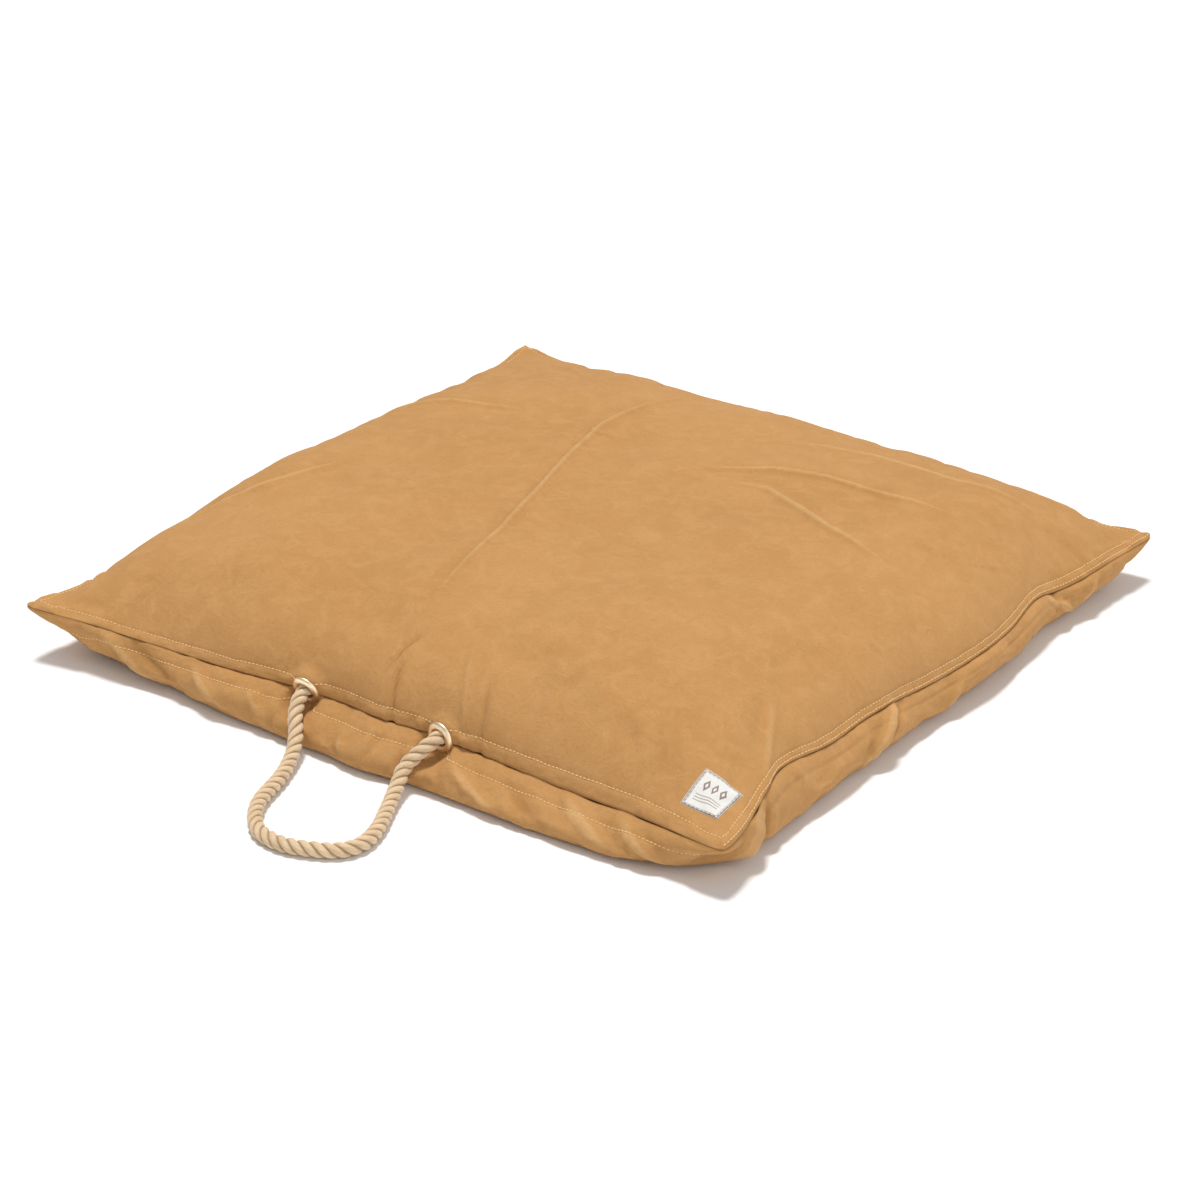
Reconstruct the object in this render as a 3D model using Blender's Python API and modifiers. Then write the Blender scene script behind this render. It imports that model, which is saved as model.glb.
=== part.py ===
"""Square canvas floor cushion: zipped cover, stuffed insert, and a rope handle held in two brass grommets.

Metres, +Z up. The origin is on the floor under the middle of the cover, and the handle side faces -Y.
"""

import functools
import math

import bmesh
import bpy
from mathutils import Matrix, Vector

# The cover: a square of two canvas panels, drawn in between its four lifted tips.
SIDE = 0.914
CROWN = 0.145
TIP_LEFT_FRONT = 0.438 * CROWN
TIP_LEFT_BACK = 0.6586 * CROWN
TIP_RIGHT_BACK = 0.358 * CROWN
TIP_RIGHT_FRONT = 0.3455 * CROWN
SEAM_SAG = 0.008
PULL_FRONT = 0.032
PULL_BACK = 0.012
PULL_LEFT = 0.012
PULL_RIGHT = 0.018
CANVAS = 0.0012
HEM = 0.0024
SHOULDER_POWER = 5
CROWN_POWER = 0.5
CORNER_PINCH = 1.2
CORNER_PINCH_POWER = 4
WALL_ROUND = 0.024
WALL_BULGE = 0.012
CORNER_LIFT = 0.16
CORNER_LIFT_POWER = 6
PULL_DEPTH_POWER = 3
BACK_PULL_POWER = 8
BULGE_POWER = 4

# The insert: a ticking case filled with fibre.
INSERT_MARGIN = 0.030
INSERT_SLACK = 0.005
TICKING = 0.0006
FILLING_MARGIN = 0.024
FILLING_EDGE = 0.0005

# The handle: a rope through two grommets in the front seam, knotted inside the cover.
ROPE_DIAMETER = 0.016
HANDLE_SPAN = 0.179
HANDLE_SHIFT = 0.0025
GROMMET_TURNS = {"left": 0.0, "right": math.radians(-8)}
GROMMET_TILTS = {"left": math.radians(20), "right": math.radians(4)}
GROMMET_BORE = ROPE_DIAMETER + 0.002
GROMMET_OUTER = GROMMET_BORE + 0.014
GROMMET_SHEET = 0.0008
GROMMET_ROLL = 0.0022
WASHER_OUTER = GROMMET_OUTER - 0.003
MOUTH_REACH = ROPE_DIAMETER / 2 + 0.003
KNOT_DIAMETER = ROPE_DIAMETER + 0.022
KNOT_THICKNESS = ROPE_DIAMETER + 0.014

# The topstitching, one row on each side of the seam.
STITCH_INSET = 0.010
THREAD = 0.0009

# The label, sewn on the top panel near the right front tip.
LABEL_SIDE = 0.044
LABEL_THICKNESS = 0.0008
LABEL_FROM_RIGHT = 0.047
LABEL_FROM_FRONT = 0.051
LABEL_STITCH_INSET = 0.004

# The zip, set in the back seam.
ZIP_LENGTH = 0.52
ZIP_DEPTH = 0.0075
SLOT_HALF = 0.0029 + SEAM_SAG * (ZIP_LENGTH / SIDE) ** 2
SLOT_RAMP = 0.05
SLOT_SPARE = 0.02
TAPE_SHARE = 0.00853
TAPE_WIDTH = TAPE_SHARE * CROWN / ZIP_LENGTH ** 3
TAPE_THICKNESS = 0.0006
COIL_WIDTH = 0.0022
COIL_THICKNESS = 0.0024
COIL_SPACE = 0.0016
SLIDER_LENGTH = 0.012
SLIDER_WIDTH = 0.009
SLIDER_PLATE = 0.0011
SLIDER_BRIDGE = 0.0010
BAIL_LENGTH = 0.0082
BAIL_ROD = 0.0011
BAIL_CLEAR = 0.0026
TAB_LENGTH = 0.026
TAB_WIDTH = 0.0065
TAB_THICKNESS = 0.0012
TAB_BAR = 0.0014
TAB_EYE = 0.0052
STOP_LENGTH = 0.004

# The clearance between pieces that touch.
GAP = 0.0003

HALF = SIDE / 2
ROPE_RADIUS = ROPE_DIAMETER / 2
FLANGE_ROW = GROMMET_OUTER / 2 + 0.002
FLAT_HEIGHT = 1.6 * FLANGE_ROW
FLAT_DEPTH = 3 * WALL_ROUND / 2
GROMMET_X = {"left": HANDLE_SHIFT - HANDLE_SPAN / 2, "right": HANDLE_SHIFT + HANDLE_SPAN / 2}
SPREAD = (0.05, 0.12, 0.21, 0.33, 0.49, 0.71, 1.0)
RUN_STEP = 0.00005

# Where the free rope lies, from left to right: x, distance out from the mouths, and height over its rest on the floor.
ROPE_ROUTE = (
    (-0.078, -0.0192, 0.0277),
    (-0.066, -0.0332, 0.0157),
    (-0.055, -0.0512, 0.0052),
    (-0.044, -0.0742, 0.0007),
    (-0.034, -0.0992, 0),
    (-0.016, -0.1512, 0),
    (0.016, -0.1882, 0),
    (0.053, -0.1982, 0),
    (0.086, -0.1902, 0),
    (0.112, -0.1742, 0),
    (0.121, -0.1512, 0),
    (0.114, -0.1202, 0),
    (0.1, -0.0902, 0),
    (0.088, -0.0652, 0.0017),
    (0.08, -0.0452, 0.0077),
    (0.076, -0.0262, 0.0187),
)
ROPE_POINT_SPACING = 0.014


def clear_scene():
    for obj in list(bpy.data.objects):
        bpy.data.objects.remove(obj, do_unlink=True)


def new_collection(name):
    collection = bpy.data.collections.new(name)
    bpy.context.scene.collection.children.link(collection)
    return collection


def paint(obj, colour, roughness, metallic=0.0):
    material = bpy.data.materials.new(obj.name)
    material.use_nodes = True
    shader = material.node_tree.nodes["Principled BSDF"]
    shader.inputs["Base Color"].default_value = (*colour, 1.0)
    shader.inputs["Roughness"].default_value = roughness
    shader.inputs["Metallic"].default_value = metallic
    obj.data.materials.clear()
    obj.data.materials.append(material)


# Form of the stuffed square. u and v run from -1 to 1 across it, left to right and front to back.


def seam_height(u, v):
    """Height of the seam over the floor: lifted tips that sag between them, but not along the zip."""
    u = max(-1.0, min(1.0, u))
    v = max(-1.0, min(1.0, v))
    right = (1 + u) / 2
    back = (1 + v) / 2
    front_line = TIP_LEFT_FRONT * (1 - right) + TIP_RIGHT_FRONT * right
    back_line = TIP_LEFT_BACK * (1 - right) + TIP_RIGHT_BACK * right
    sag = (1 - u * u) * (1 - back) + (1 - v * v) * u * u
    return front_line * (1 - back) + back_line * back - SEAM_SAG * sag


def fullness(u, v):
    """Share of its rise that the top has: none at the seam, all of it at the crown."""
    swell = (1 - abs(u) ** SHOULDER_POWER) * (1 - abs(v) ** SHOULDER_POWER)
    return max(swell, 0.0) ** (CROWN_POWER + CORNER_PINCH * abs(u * v) ** CORNER_PINCH_POWER)


def quarter_round(inset, width):
    return math.sqrt(1 - (1 - min(max(inset, 0.0) / width, 1.0)) ** 2)


def wall_shares(half, u, v):
    """How far down the wall the underside is, seen from the nearer side in u and in v."""
    width = WALL_ROUND + CORNER_LIFT * abs(u * v) ** CORNER_LIFT_POWER
    return quarter_round(half * (1 - abs(u)), width), quarter_round(half * (1 - abs(v)), width)


class Pillow:
    """One closed skin of the stuffed square. The cover, the insert and the filling each use two or one."""

    def __init__(self, half, pulls, top, base, edge, bulge=0.0):
        self.half = half
        self.left, self.right, self.front, self.back = pulls
        self.top = top
        self.base = base
        self.edge = edge
        self.bulge = bulge

    def plan(self, u, v):
        sideways = (self.right if u > 0 else self.left) * (1 - v * v)
        if v > 0:
            endways = self.back * (1 - abs(u) ** BACK_PULL_POWER)
        else:
            endways = self.front * (1 - u * u)
        return u * (self.half - sideways * abs(u) ** PULL_DEPTH_POWER), v * (self.half - endways * abs(v) ** PULL_DEPTH_POWER)

    def point(self, side, u, v):
        x, y = self.plan(u, v)
        seam = seam_height(x / HALF, y / HALF)
        if side == "top":
            low = seam + self.edge
            return Vector((x, y, low + (self.top - low) * fullness(u, v)))
        across, along = wall_shares(self.half, u, v)
        high = seam - self.edge
        x += math.copysign(4 * self.bulge * across * (1 - across) * (1 - v ** BULGE_POWER), u)
        y += math.copysign(4 * self.bulge * along * (1 - along) * (1 - u ** BULGE_POWER), v)
        return Vector((x, y, high + (self.base - high) * across * along))


COVER_PULLS = (PULL_LEFT, PULL_RIGHT, PULL_FRONT, PULL_BACK)
COVER_OUTSIDE = Pillow(HALF, COVER_PULLS, CROWN, 0.0, HEM + GAP / 2, WALL_BULGE)
COVER_INSIDE = Pillow(HALF - CANVAS, COVER_PULLS, CROWN - CANVAS, CANVAS, GAP / 2, WALL_BULGE)


def grommet_normal(name):
    """Outward direction of a grommet's face."""
    turn, tilt = GROMMET_TURNS[name], GROMMET_TILTS[name]
    return Vector((math.sin(turn) * math.cos(tilt), -math.cos(turn) * math.cos(tilt), -math.sin(tilt)))


def grommet_centre(name):
    """Middle of a grommet's bore, on the outside of the canvas."""
    x = GROMMET_X[name]
    y = COVER_OUTSIDE.plan(x / HALF, -1)[1]
    return Vector((x, y, seam_height(x / HALF, y / HALF)))


def on_grommet_plane(point, inset):
    """The canvas lies flat under each grommet's flange."""
    for name in GROMMET_X:
        centre = grommet_centre(name)
        normal = grommet_normal(name)
        beside = abs(point.x - centre.x) < FLANGE_ROW + GAP
        if beside and abs(point.z - centre.z) < FLAT_HEIGHT and point.y < centre.y + FLAT_DEPTH:
            away = normal.x * (point.x - centre.x) + normal.z * (point.z - centre.z)
            point.y = centre.y - (away + inset) / normal.y
    return point


def slot_share(x):
    """Share of the zip's slot that is open at x."""
    return max(0.0, min(1.0, 1 - (abs(x) - ZIP_LENGTH / 2 - SLOT_SPARE) / SLOT_RAMP))


@functools.cache
def inset_after(side, seam, other, reach):
    """Plan inset at which the canvas has run a given reach from the seam."""
    inset = run = level = 0.0
    while run < reach:
        inset += RUN_STEP
        across = 1 - inset / HALF
        if side == "top":
            rise = (CROWN - seam) * fullness(across, other)
        else:
            rise = seam * math.prod(wall_shares(HALF, across, other))
        run += math.hypot(RUN_STEP, rise - level)
        level = rise
    return inset


def spread_from(first, second, far):
    return [0.0, first, second] + [second + (far - second) * share for share in SPREAD]


HANDLE_ZONE = HANDLE_SPAN / 2 + abs(HANDLE_SHIFT) + 2 * FLANGE_ROW
HANDLE_COLUMNS = sorted(
    [HANDLE_SHIFT]
    + [GROMMET_X[name] + step * FLANGE_ROW for name in GROMMET_X for step in (-1, 1)]
    + [GROMMET_X["left"] + 2 * FLANGE_ROW, GROMMET_X["right"] - 2 * FLANGE_ROW]
)
COLUMN_INSETS = spread_from(STITCH_INSET, FLANGE_ROW, HALF - HANDLE_ZONE)
ROW_INSETS = spread_from(STITCH_INSET, FLANGE_ROW, HALF)
SIDE_COLUMNS = len(COLUMN_INSETS)
COLUMN_COUNT = 2 * SIDE_COLUMNS + len(HANDLE_COLUMNS)
ROW_COUNT = 2 * len(ROW_INSETS) - 1


def line_values(insets, middle):
    """Places from -1 to 1 of a family of grid lines, given their insets from either edge."""
    lows = [inset / HALF - 1 for inset in insets[0]]
    highs = [1 - inset / HALF for inset in reversed(insets[1])]
    return lows + middle + highs


NOMINAL_COLUMNS = line_values((COLUMN_INSETS, COLUMN_INSETS), [x / HALF for x in HANDLE_COLUMNS])
NOMINAL_ROWS = line_values((ROW_INSETS, ROW_INSETS[:-1]), [])


@functools.cache
def columns_at(side, row):
    """u of every column along one row. The columns keep their distance from the seam on the canvas."""
    v = NOMINAL_ROWS[row]
    far = HALF - HANDLE_ZONE
    ends = []
    for edge in (-1, 1):
        seam = seam_height(edge, v)
        reaches = [inset_after(side, seam, v, reach) for reach in (STITCH_INSET, FLANGE_ROW)]
        ends.append(spread_from(*reaches, far))
    return line_values(ends, [x / HALF for x in HANDLE_COLUMNS])


@functools.cache
def rows_at(side, column):
    """v of every row along one column."""
    u = NOMINAL_COLUMNS[column]
    ends = []
    for edge in (-1, 1):
        seam = seam_height(u, edge)
        reaches = [inset_after(side, seam, u, reach) for reach in (STITCH_INSET, FLANGE_ROW)]
        ends.append(spread_from(*reaches, HALF))
    return line_values((ends[0], ends[1][:-1]), [])


def cover_point(side, column, row, inside):
    """A point of the canvas: on its outside, or CANVAS further in."""
    u = columns_at(side, row)[column]
    v = rows_at(side, column)[row]
    skin = COVER_INSIDE if inside else COVER_OUTSIDE
    point = skin.point(side, u, v)
    if row == ROW_COUNT - 1:
        point.z += SLOT_HALF * slot_share(point.x) * (1 if side == "top" else -1)
    return on_grommet_plane(point, CANVAS if inside else 0.0)


def face_outwards(bm):
    bmesh.ops.recalc_face_normals(bm, faces=bm.faces[:])
    if bm.calc_volume(signed=True) < 0:
        bmesh.ops.reverse_faces(bm, faces=bm.faces[:])


def mapped_slab(name, columns, rows, place, collection):
    """A closed slab of grid cells, with its two layers of points put where `place` says."""
    mesh = bpy.data.meshes.new(name)
    bm = bmesh.new()
    bmesh.ops.create_grid(bm, x_segments=columns, y_segments=rows, size=1)
    skirt = bmesh.ops.extrude_face_region(bm, geom=bm.faces[:])["geom"]
    raised = [item for item in skirt if isinstance(item, bmesh.types.BMVert)]
    bmesh.ops.translate(bm, verts=raised, vec=(0, 0, 1))
    for vert in bm.verts:
        column = round((vert.co.x + 1) / 2 * columns)
        row = round((vert.co.y + 1) / 2 * rows)
        vert.co = place(column, row, vert.co.z > 0.5)
    face_outwards(bm)
    bm.to_mesh(mesh)
    bm.free()
    obj = bpy.data.objects.new(name, mesh)
    collection.objects.link(obj)
    return obj


def turned(name, profile, location, axis, collection, steps=24):
    """A turned solid: a closed profile of (radius, height) about an axis through its location."""
    mesh = bpy.data.meshes.new(name)
    bm = bmesh.new()
    verts = [bm.verts.new((radius, 0, height)) for radius, height in profile]
    closed = profile[0][0] > 0
    pairs = zip(verts, verts[1:] + verts[:1]) if closed else zip(verts, verts[1:])
    for start, end in pairs:
        bm.edges.new((start, end))
    bm.to_mesh(mesh)
    bm.free()
    obj = bpy.data.objects.new(name, mesh)
    collection.objects.link(obj)
    obj.location = location
    obj.rotation_euler = Vector(axis).to_track_quat("Z", "Y").to_euler()
    screw = obj.modifiers.new("turn", "SCREW")
    screw.steps = screw.render_steps = steps
    screw.use_merge_vertices = True
    screw.merge_threshold = 0.00001
    screw.use_smooth_shade = True
    return obj


def tube(name, points, radius, location, collection, resolution=2):
    """A round tube with filled ends along a line of points."""
    curve = bpy.data.curves.new(name, "CURVE")
    curve.dimensions = "3D"
    curve.bevel_depth = radius
    curve.bevel_resolution = resolution
    curve.use_fill_caps = True
    spline = curve.splines.new("POLY")
    spline.points.add(len(points) - 1)
    for spot, point in zip(spline.points, points):
        spot.co = (*(Vector(point) - Vector(location)), 1)
    obj = bpy.data.objects.new(name, curve)
    obj.location = location
    collection.objects.link(obj)
    return obj


def block(name, size, centre, parent, collection):
    """A plain box in its parent's frame."""
    mesh = bpy.data.meshes.new(name)
    bm = bmesh.new()
    bmesh.ops.create_cube(bm, size=1)
    bmesh.ops.scale(bm, verts=bm.verts[:], vec=size)
    bm.to_mesh(mesh)
    bm.free()
    obj = bpy.data.objects.new(name, mesh)
    collection.objects.link(obj)
    obj.parent = parent
    obj.location = centre
    return obj


def boolean(obj, other, operation):
    modifier = obj.modifiers.new(other.name, "BOOLEAN")
    modifier.operation = operation
    modifier.object = other
    other.hide_render = True
    other.display_type = "WIRE"


def make_cover(parts, cutters):
    """Two canvas panels, sewn edge to edge, with a round hole for each grommet in the front seam."""
    for name, side in (("top_panel", "top"), ("bottom_panel", "bottom")):
        place = functools.partial(cover_point, side)
        panel = mapped_slab(name, COLUMN_COUNT - 1, ROW_COUNT - 1, place, parts)
        paint(panel, (0.60, 0.35, 0.13), 0.88)
        for grommet in GROMMET_X:
            radius = GROMMET_BORE / 2 + GROMMET_SHEET + GAP
            reach = 5 * CANVAS
            profile = ((0, reach), (radius, reach), (radius, -reach), (0, -reach))
            centre = grommet_centre(grommet)
            hole = turned(f"{name}_{grommet}_hole", profile, centre, grommet_normal(grommet), cutters)
            boolean(panel, hole, "DIFFERENCE")


def topstitch_points(side, stops):
    """Points over the stitch row, from one stop column on the front round the cushion to the other."""
    last_column, last_row = COLUMN_COUNT - 1, ROW_COUNT - 1
    ring = [(column, 1) for column in range(stops[0], last_column)]
    if stops[0] > stops[1]:
        ring += [(last_column - 1, row) for row in range(2, last_row)]
        ring += [(column, last_row - 1) for column in range(last_column - 2, 0, -1)]
        ring += [(1, row) for row in range(last_row - 2, 0, -1)]
        ring += [(column, 1) for column in range(2, stops[1] + 1)]
    else:
        ring = [(column, 1) for column in range(stops[0], stops[1] + 1)]
    lift = THREAD / 2 + GAP
    points = []
    for column, row in ring:
        here = cover_point(side, column, row, False)
        across = cover_point(side, column + 1, row, False) - cover_point(side, column - 1, row, False)
        along = cover_point(side, column, row + 1, False) - cover_point(side, column, row - 1, False)
        normal = across.cross(along).normalized()
        points.append(here + normal * lift * (1 if side == "top" else -1))
    return points


def make_topstitching(parts):
    """A heavy thread on each side of the seam. It goes under the grommets, so it shows in two lengths."""
    first = SIDE_COLUMNS + [round(x, 6) for x in HANDLE_COLUMNS].index(
        round(GROMMET_X["left"] - FLANGE_ROW, 6)
    )
    left_far, left_near = first, first + 1
    right_near, right_far = first + 5, first + 6
    for side in ("top", "bottom"):
        around = topstitch_points(side, (right_far, left_far))
        between = topstitch_points(side, (left_near, right_near))
        for name, points in ((f"{side}_edge_thread", around), (f"{side}_handle_thread", between)):
            thread = tube(name, points, THREAD / 2, (0, 0, 0), parts, resolution=0)
            paint(thread, (0.74, 0.50, 0.23), 0.6)


def insert_pulls():
    """The insert is drawn in behind the handle, where the knots push into it."""
    knot_far = max(abs(x) for x in GROMMET_X.values()) + KNOT_DIAMETER / 2
    half = HALF - INSERT_MARGIN
    wall = min(-COVER_OUTSIDE.plan(x / HALF, -1)[1] for x in GROMMET_X.values())
    clear = wall - knot_depth() - KNOT_THICKNESS / 2 - 10 * GAP
    front = (half - clear) / (1 - (knot_far / half) ** 2)
    return PULL_LEFT, PULL_RIGHT, front, PULL_BACK


def knot_depth():
    """From the outside of the canvas to the middle of the knot."""
    return CANVAS + GROMMET_ROLL + 3 * GAP + KNOT_THICKNESS / 2 + GAP


def make_insert(parts):
    """A ticking case of two panels, and the fibre filling inside it."""
    half = HALF - INSERT_MARGIN
    pulls = insert_pulls()
    top = CROWN - CANVAS - INSERT_SLACK
    base = CANVAS + GAP
    outside = Pillow(half, pulls, top, base, TICKING + GAP / 2)
    inside = Pillow(half - TICKING, pulls, top - TICKING, base + TICKING, GAP / 2)
    lines = [-math.cos(math.pi * step / 14) for step in range(15)]

    def place(side, column, row, second):
        skin = inside if second else outside
        return skin.point(side, lines[column], lines[row])

    for name, side in (("insert_top_panel", "top"), ("insert_bottom_panel", "bottom")):
        panel = mapped_slab(name, 14, 14, functools.partial(place, side), parts)
        paint(panel, (0.80, 0.77, 0.70), 0.9)

    fill_top = top - TICKING - INSERT_SLACK / 2
    fill_base = base + TICKING + GAP
    body = Pillow(half - FILLING_MARGIN, pulls, fill_top, fill_base, FILLING_EDGE)

    def fill_place(column, row, second):
        return body.point("top" if second else "bottom", lines[column], lines[row])

    filling = mapped_slab("fibre_filling", 14, 14, fill_place, parts)
    paint(filling, (0.86, 0.86, 0.84), 1.0)


def make_grommets(parts):
    """Each grommet is an eyelet pressed through the canvas and rolled over a washer behind it."""
    bore = GROMMET_BORE / 2
    barrel = bore + GROMMET_SHEET
    flange = GROMMET_OUTER / 2
    roll_top = -CANVAS - 3 * GAP - GROMMET_SHEET
    roll_end = roll_top - GROMMET_SHEET
    eyelet_profile = (
        (bore, 0.35 * GROMMET_SHEET + GAP),
        (bore, roll_end),
        (barrel + 0.0016, roll_end),
        (barrel + 0.0016, roll_top - GAP),
        (barrel, roll_top - GAP),
        (barrel, GAP),
        (flange, GAP),
        (flange - 0.0005, GROMMET_SHEET + GAP),
        (0.5 * (flange + barrel), GROMMET_ROLL * 0.7 + GAP),
        (barrel + 0.0004, GROMMET_SHEET * 1.5 + GAP),
    )
    washer = WASHER_OUTER / 2
    washer_profile = (
        (barrel + GAP, -CANVAS - GAP),
        (barrel + GAP, -CANVAS - GAP - GROMMET_SHEET),
        (washer, -CANVAS - GAP - GROMMET_SHEET),
        (washer, -CANVAS - GAP),
    )
    for name in GROMMET_X:
        centre = grommet_centre(name)
        normal = grommet_normal(name)
        eyelet = turned(f"grommet_{name}", eyelet_profile[::-1], centre, normal, parts, steps=28)
        ring = turned(f"grommet_washer_{name}", washer_profile[::-1], centre, normal, parts, steps=28)
        for obj in (eyelet, ring):
            paint(obj, (0.80, 0.58, 0.30), 0.3, 1.0)


def mouth(name):
    """Where the rope turns, just outside a grommet. The handle's hinge goes through both mouths."""
    return grommet_centre(name) + grommet_normal(name) * MOUTH_REACH


def make_rope(parts):
    """One rope: a tail through each grommet, a stopper knot behind it, and the free loop between."""
    for name in GROMMET_X:
        centre = grommet_centre(name)
        normal = grommet_normal(name)
        start = knot_depth() - KNOT_THICKNESS / 2 - GAP
        bend = [
            (ROPE_RADIUS * math.sin(math.radians(turn)), MOUTH_REACH + ROPE_RADIUS * math.cos(math.radians(turn)))
            for turn in range(0, 91, 15)
        ]
        profile = bend + [(ROPE_RADIUS, -start), (0, -start)]
        tail = turned(f"rope_tail_{name}", profile, centre, normal, parts, steps=12)
        paint(tail, (0.65, 0.50, 0.30), 0.95)
        knot = stopper_knot(f"stopper_knot_{name}", centre - normal * knot_depth(), normal, parts)
        paint(knot, (0.65, 0.50, 0.30), 0.95)

    hinge = (mouth("left") + mouth("right")) / 2
    rest = Vector((0, hinge.y, ROPE_RADIUS + GAP))
    route = [rest + Vector(place) for place in ROPE_ROUTE]
    ends = []
    for name, nearest in (("left", route[0]), ("right", route[-1])):
        heading = (nearest - mouth(name)).normalized()
        ends.append([mouth(name) + heading * (ROPE_RADIUS + GAP + step) for step in (0, 0.004)])
    knots = ends[0] + route + ends[1][::-1]
    loop = tube("rope_handle", smooth_route(knots), ROPE_RADIUS, hinge, parts, resolution=3)
    paint(loop, (0.65, 0.50, 0.30), 0.95)


def stopper_knot(name, centre, normal, parts):
    """The knot, drawn up tight: a round lump, pressed flat against the washer."""
    mesh = bpy.data.meshes.new(name)
    bm = bmesh.new()
    bmesh.ops.create_uvsphere(bm, u_segments=16, v_segments=10, radius=KNOT_DIAMETER / 2)
    bmesh.ops.scale(bm, verts=bm.verts[:], vec=(1, 1, KNOT_THICKNESS / KNOT_DIAMETER))
    bmesh.ops.rotate(bm, verts=bm.verts[:], matrix=normal.to_track_quat("Z", "Y").to_matrix())
    bm.to_mesh(mesh)
    bm.free()
    obj = bpy.data.objects.new(name, mesh)
    obj.location = centre
    parts.objects.link(obj)
    return obj


def smooth_route(knots):
    """Evenly spaced points on a smooth curve through the route's own points."""
    padded = [2 * knots[0] - knots[1]] + list(knots) + [2 * knots[-1] - knots[-2]]
    fine = []
    for before, start, end, after in zip(padded, padded[1:], padded[2:], padded[3:]):
        for step in range(20):
            t = step / 20
            bend = (
                2 * start
                + (end - before) * t
                + (2 * before - 5 * start + 4 * end - after) * t * t
                + (3 * start - before - 3 * end + after) * t ** 3
            )
            fine.append(bend / 2)
    fine.append(knots[-1].copy())
    runs = [0.0]
    for start, end in zip(fine, fine[1:]):
        runs.append(runs[-1] + (end - start).length)
    count = round(runs[-1] / ROPE_POINT_SPACING)
    points = []
    index = 0
    for step in range(count + 1):
        target = runs[-1] * step / count
        while index < len(fine) - 2 and runs[index + 1] < target:
            index += 1
        share = (target - runs[index]) / (runs[index + 1] - runs[index])
        points.append(fine[index].lerp(fine[index + 1], min(share, 1.0)))
    return points


def label_frame(u, v):
    """Plan shares covered by a metre of canvas there, in u and in v."""
    step = 0.002
    here = COVER_OUTSIDE.point("top", u, v)
    across = (COVER_OUTSIDE.point("top", u + step, v) - here).length / step
    along = (COVER_OUTSIDE.point("top", u, v + step) - here).length / step
    return 1 / across, 1 / along


def label_point(across, along, lift):
    """A point over the top panel, measured on the canvas from the label's middle."""
    u0 = 1 - LABEL_FROM_RIGHT / HALF
    v0 = LABEL_FROM_FRONT / HALF - 1
    share_u, share_v = label_frame(u0, v0)
    u, v = u0 + across * share_u, v0 + along * share_v
    step = 0.002
    here = COVER_OUTSIDE.point("top", u, v)
    slope_u = COVER_OUTSIDE.point("top", u + step, v) - here
    slope_v = COVER_OUTSIDE.point("top", u, v + step) - here
    return here + slope_u.cross(slope_v).normalized() * lift


def make_label(parts):
    """A square woven label, and the thread that holds it round its edge."""
    cells = 6

    def place(column, row, second):
        across = (column / cells - 0.5) * LABEL_SIDE
        along = (row / cells - 0.5) * LABEL_SIDE
        return label_point(across, along, GAP + (LABEL_THICKNESS if second else 0))

    label = mapped_slab("label", cells, cells, place, parts)
    paint(label, (0.78, 0.76, 0.72), 0.8)

    reach = LABEL_SIDE / 2 - LABEL_STITCH_INSET
    corners = [(-reach, -reach), (reach, -reach), (reach, reach), (-reach, reach)]
    points = []
    for start, end in zip(corners, corners[1:] + corners[:1]):
        for step in range(cells):
            share = step / cells
            across = start[0] + (end[0] - start[0]) * share
            along = start[1] + (end[1] - start[1]) * share
            points.append(label_point(across, along, 2 * GAP + LABEL_THICKNESS + THREAD / 2))
    thread = tube("label_thread", points, THREAD / 3, (0, 0, 0), parts, resolution=0)
    thread.data.splines[0].use_cyclic_u = True
    paint(thread, (0.55, 0.45, 0.32), 0.7)


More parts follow.
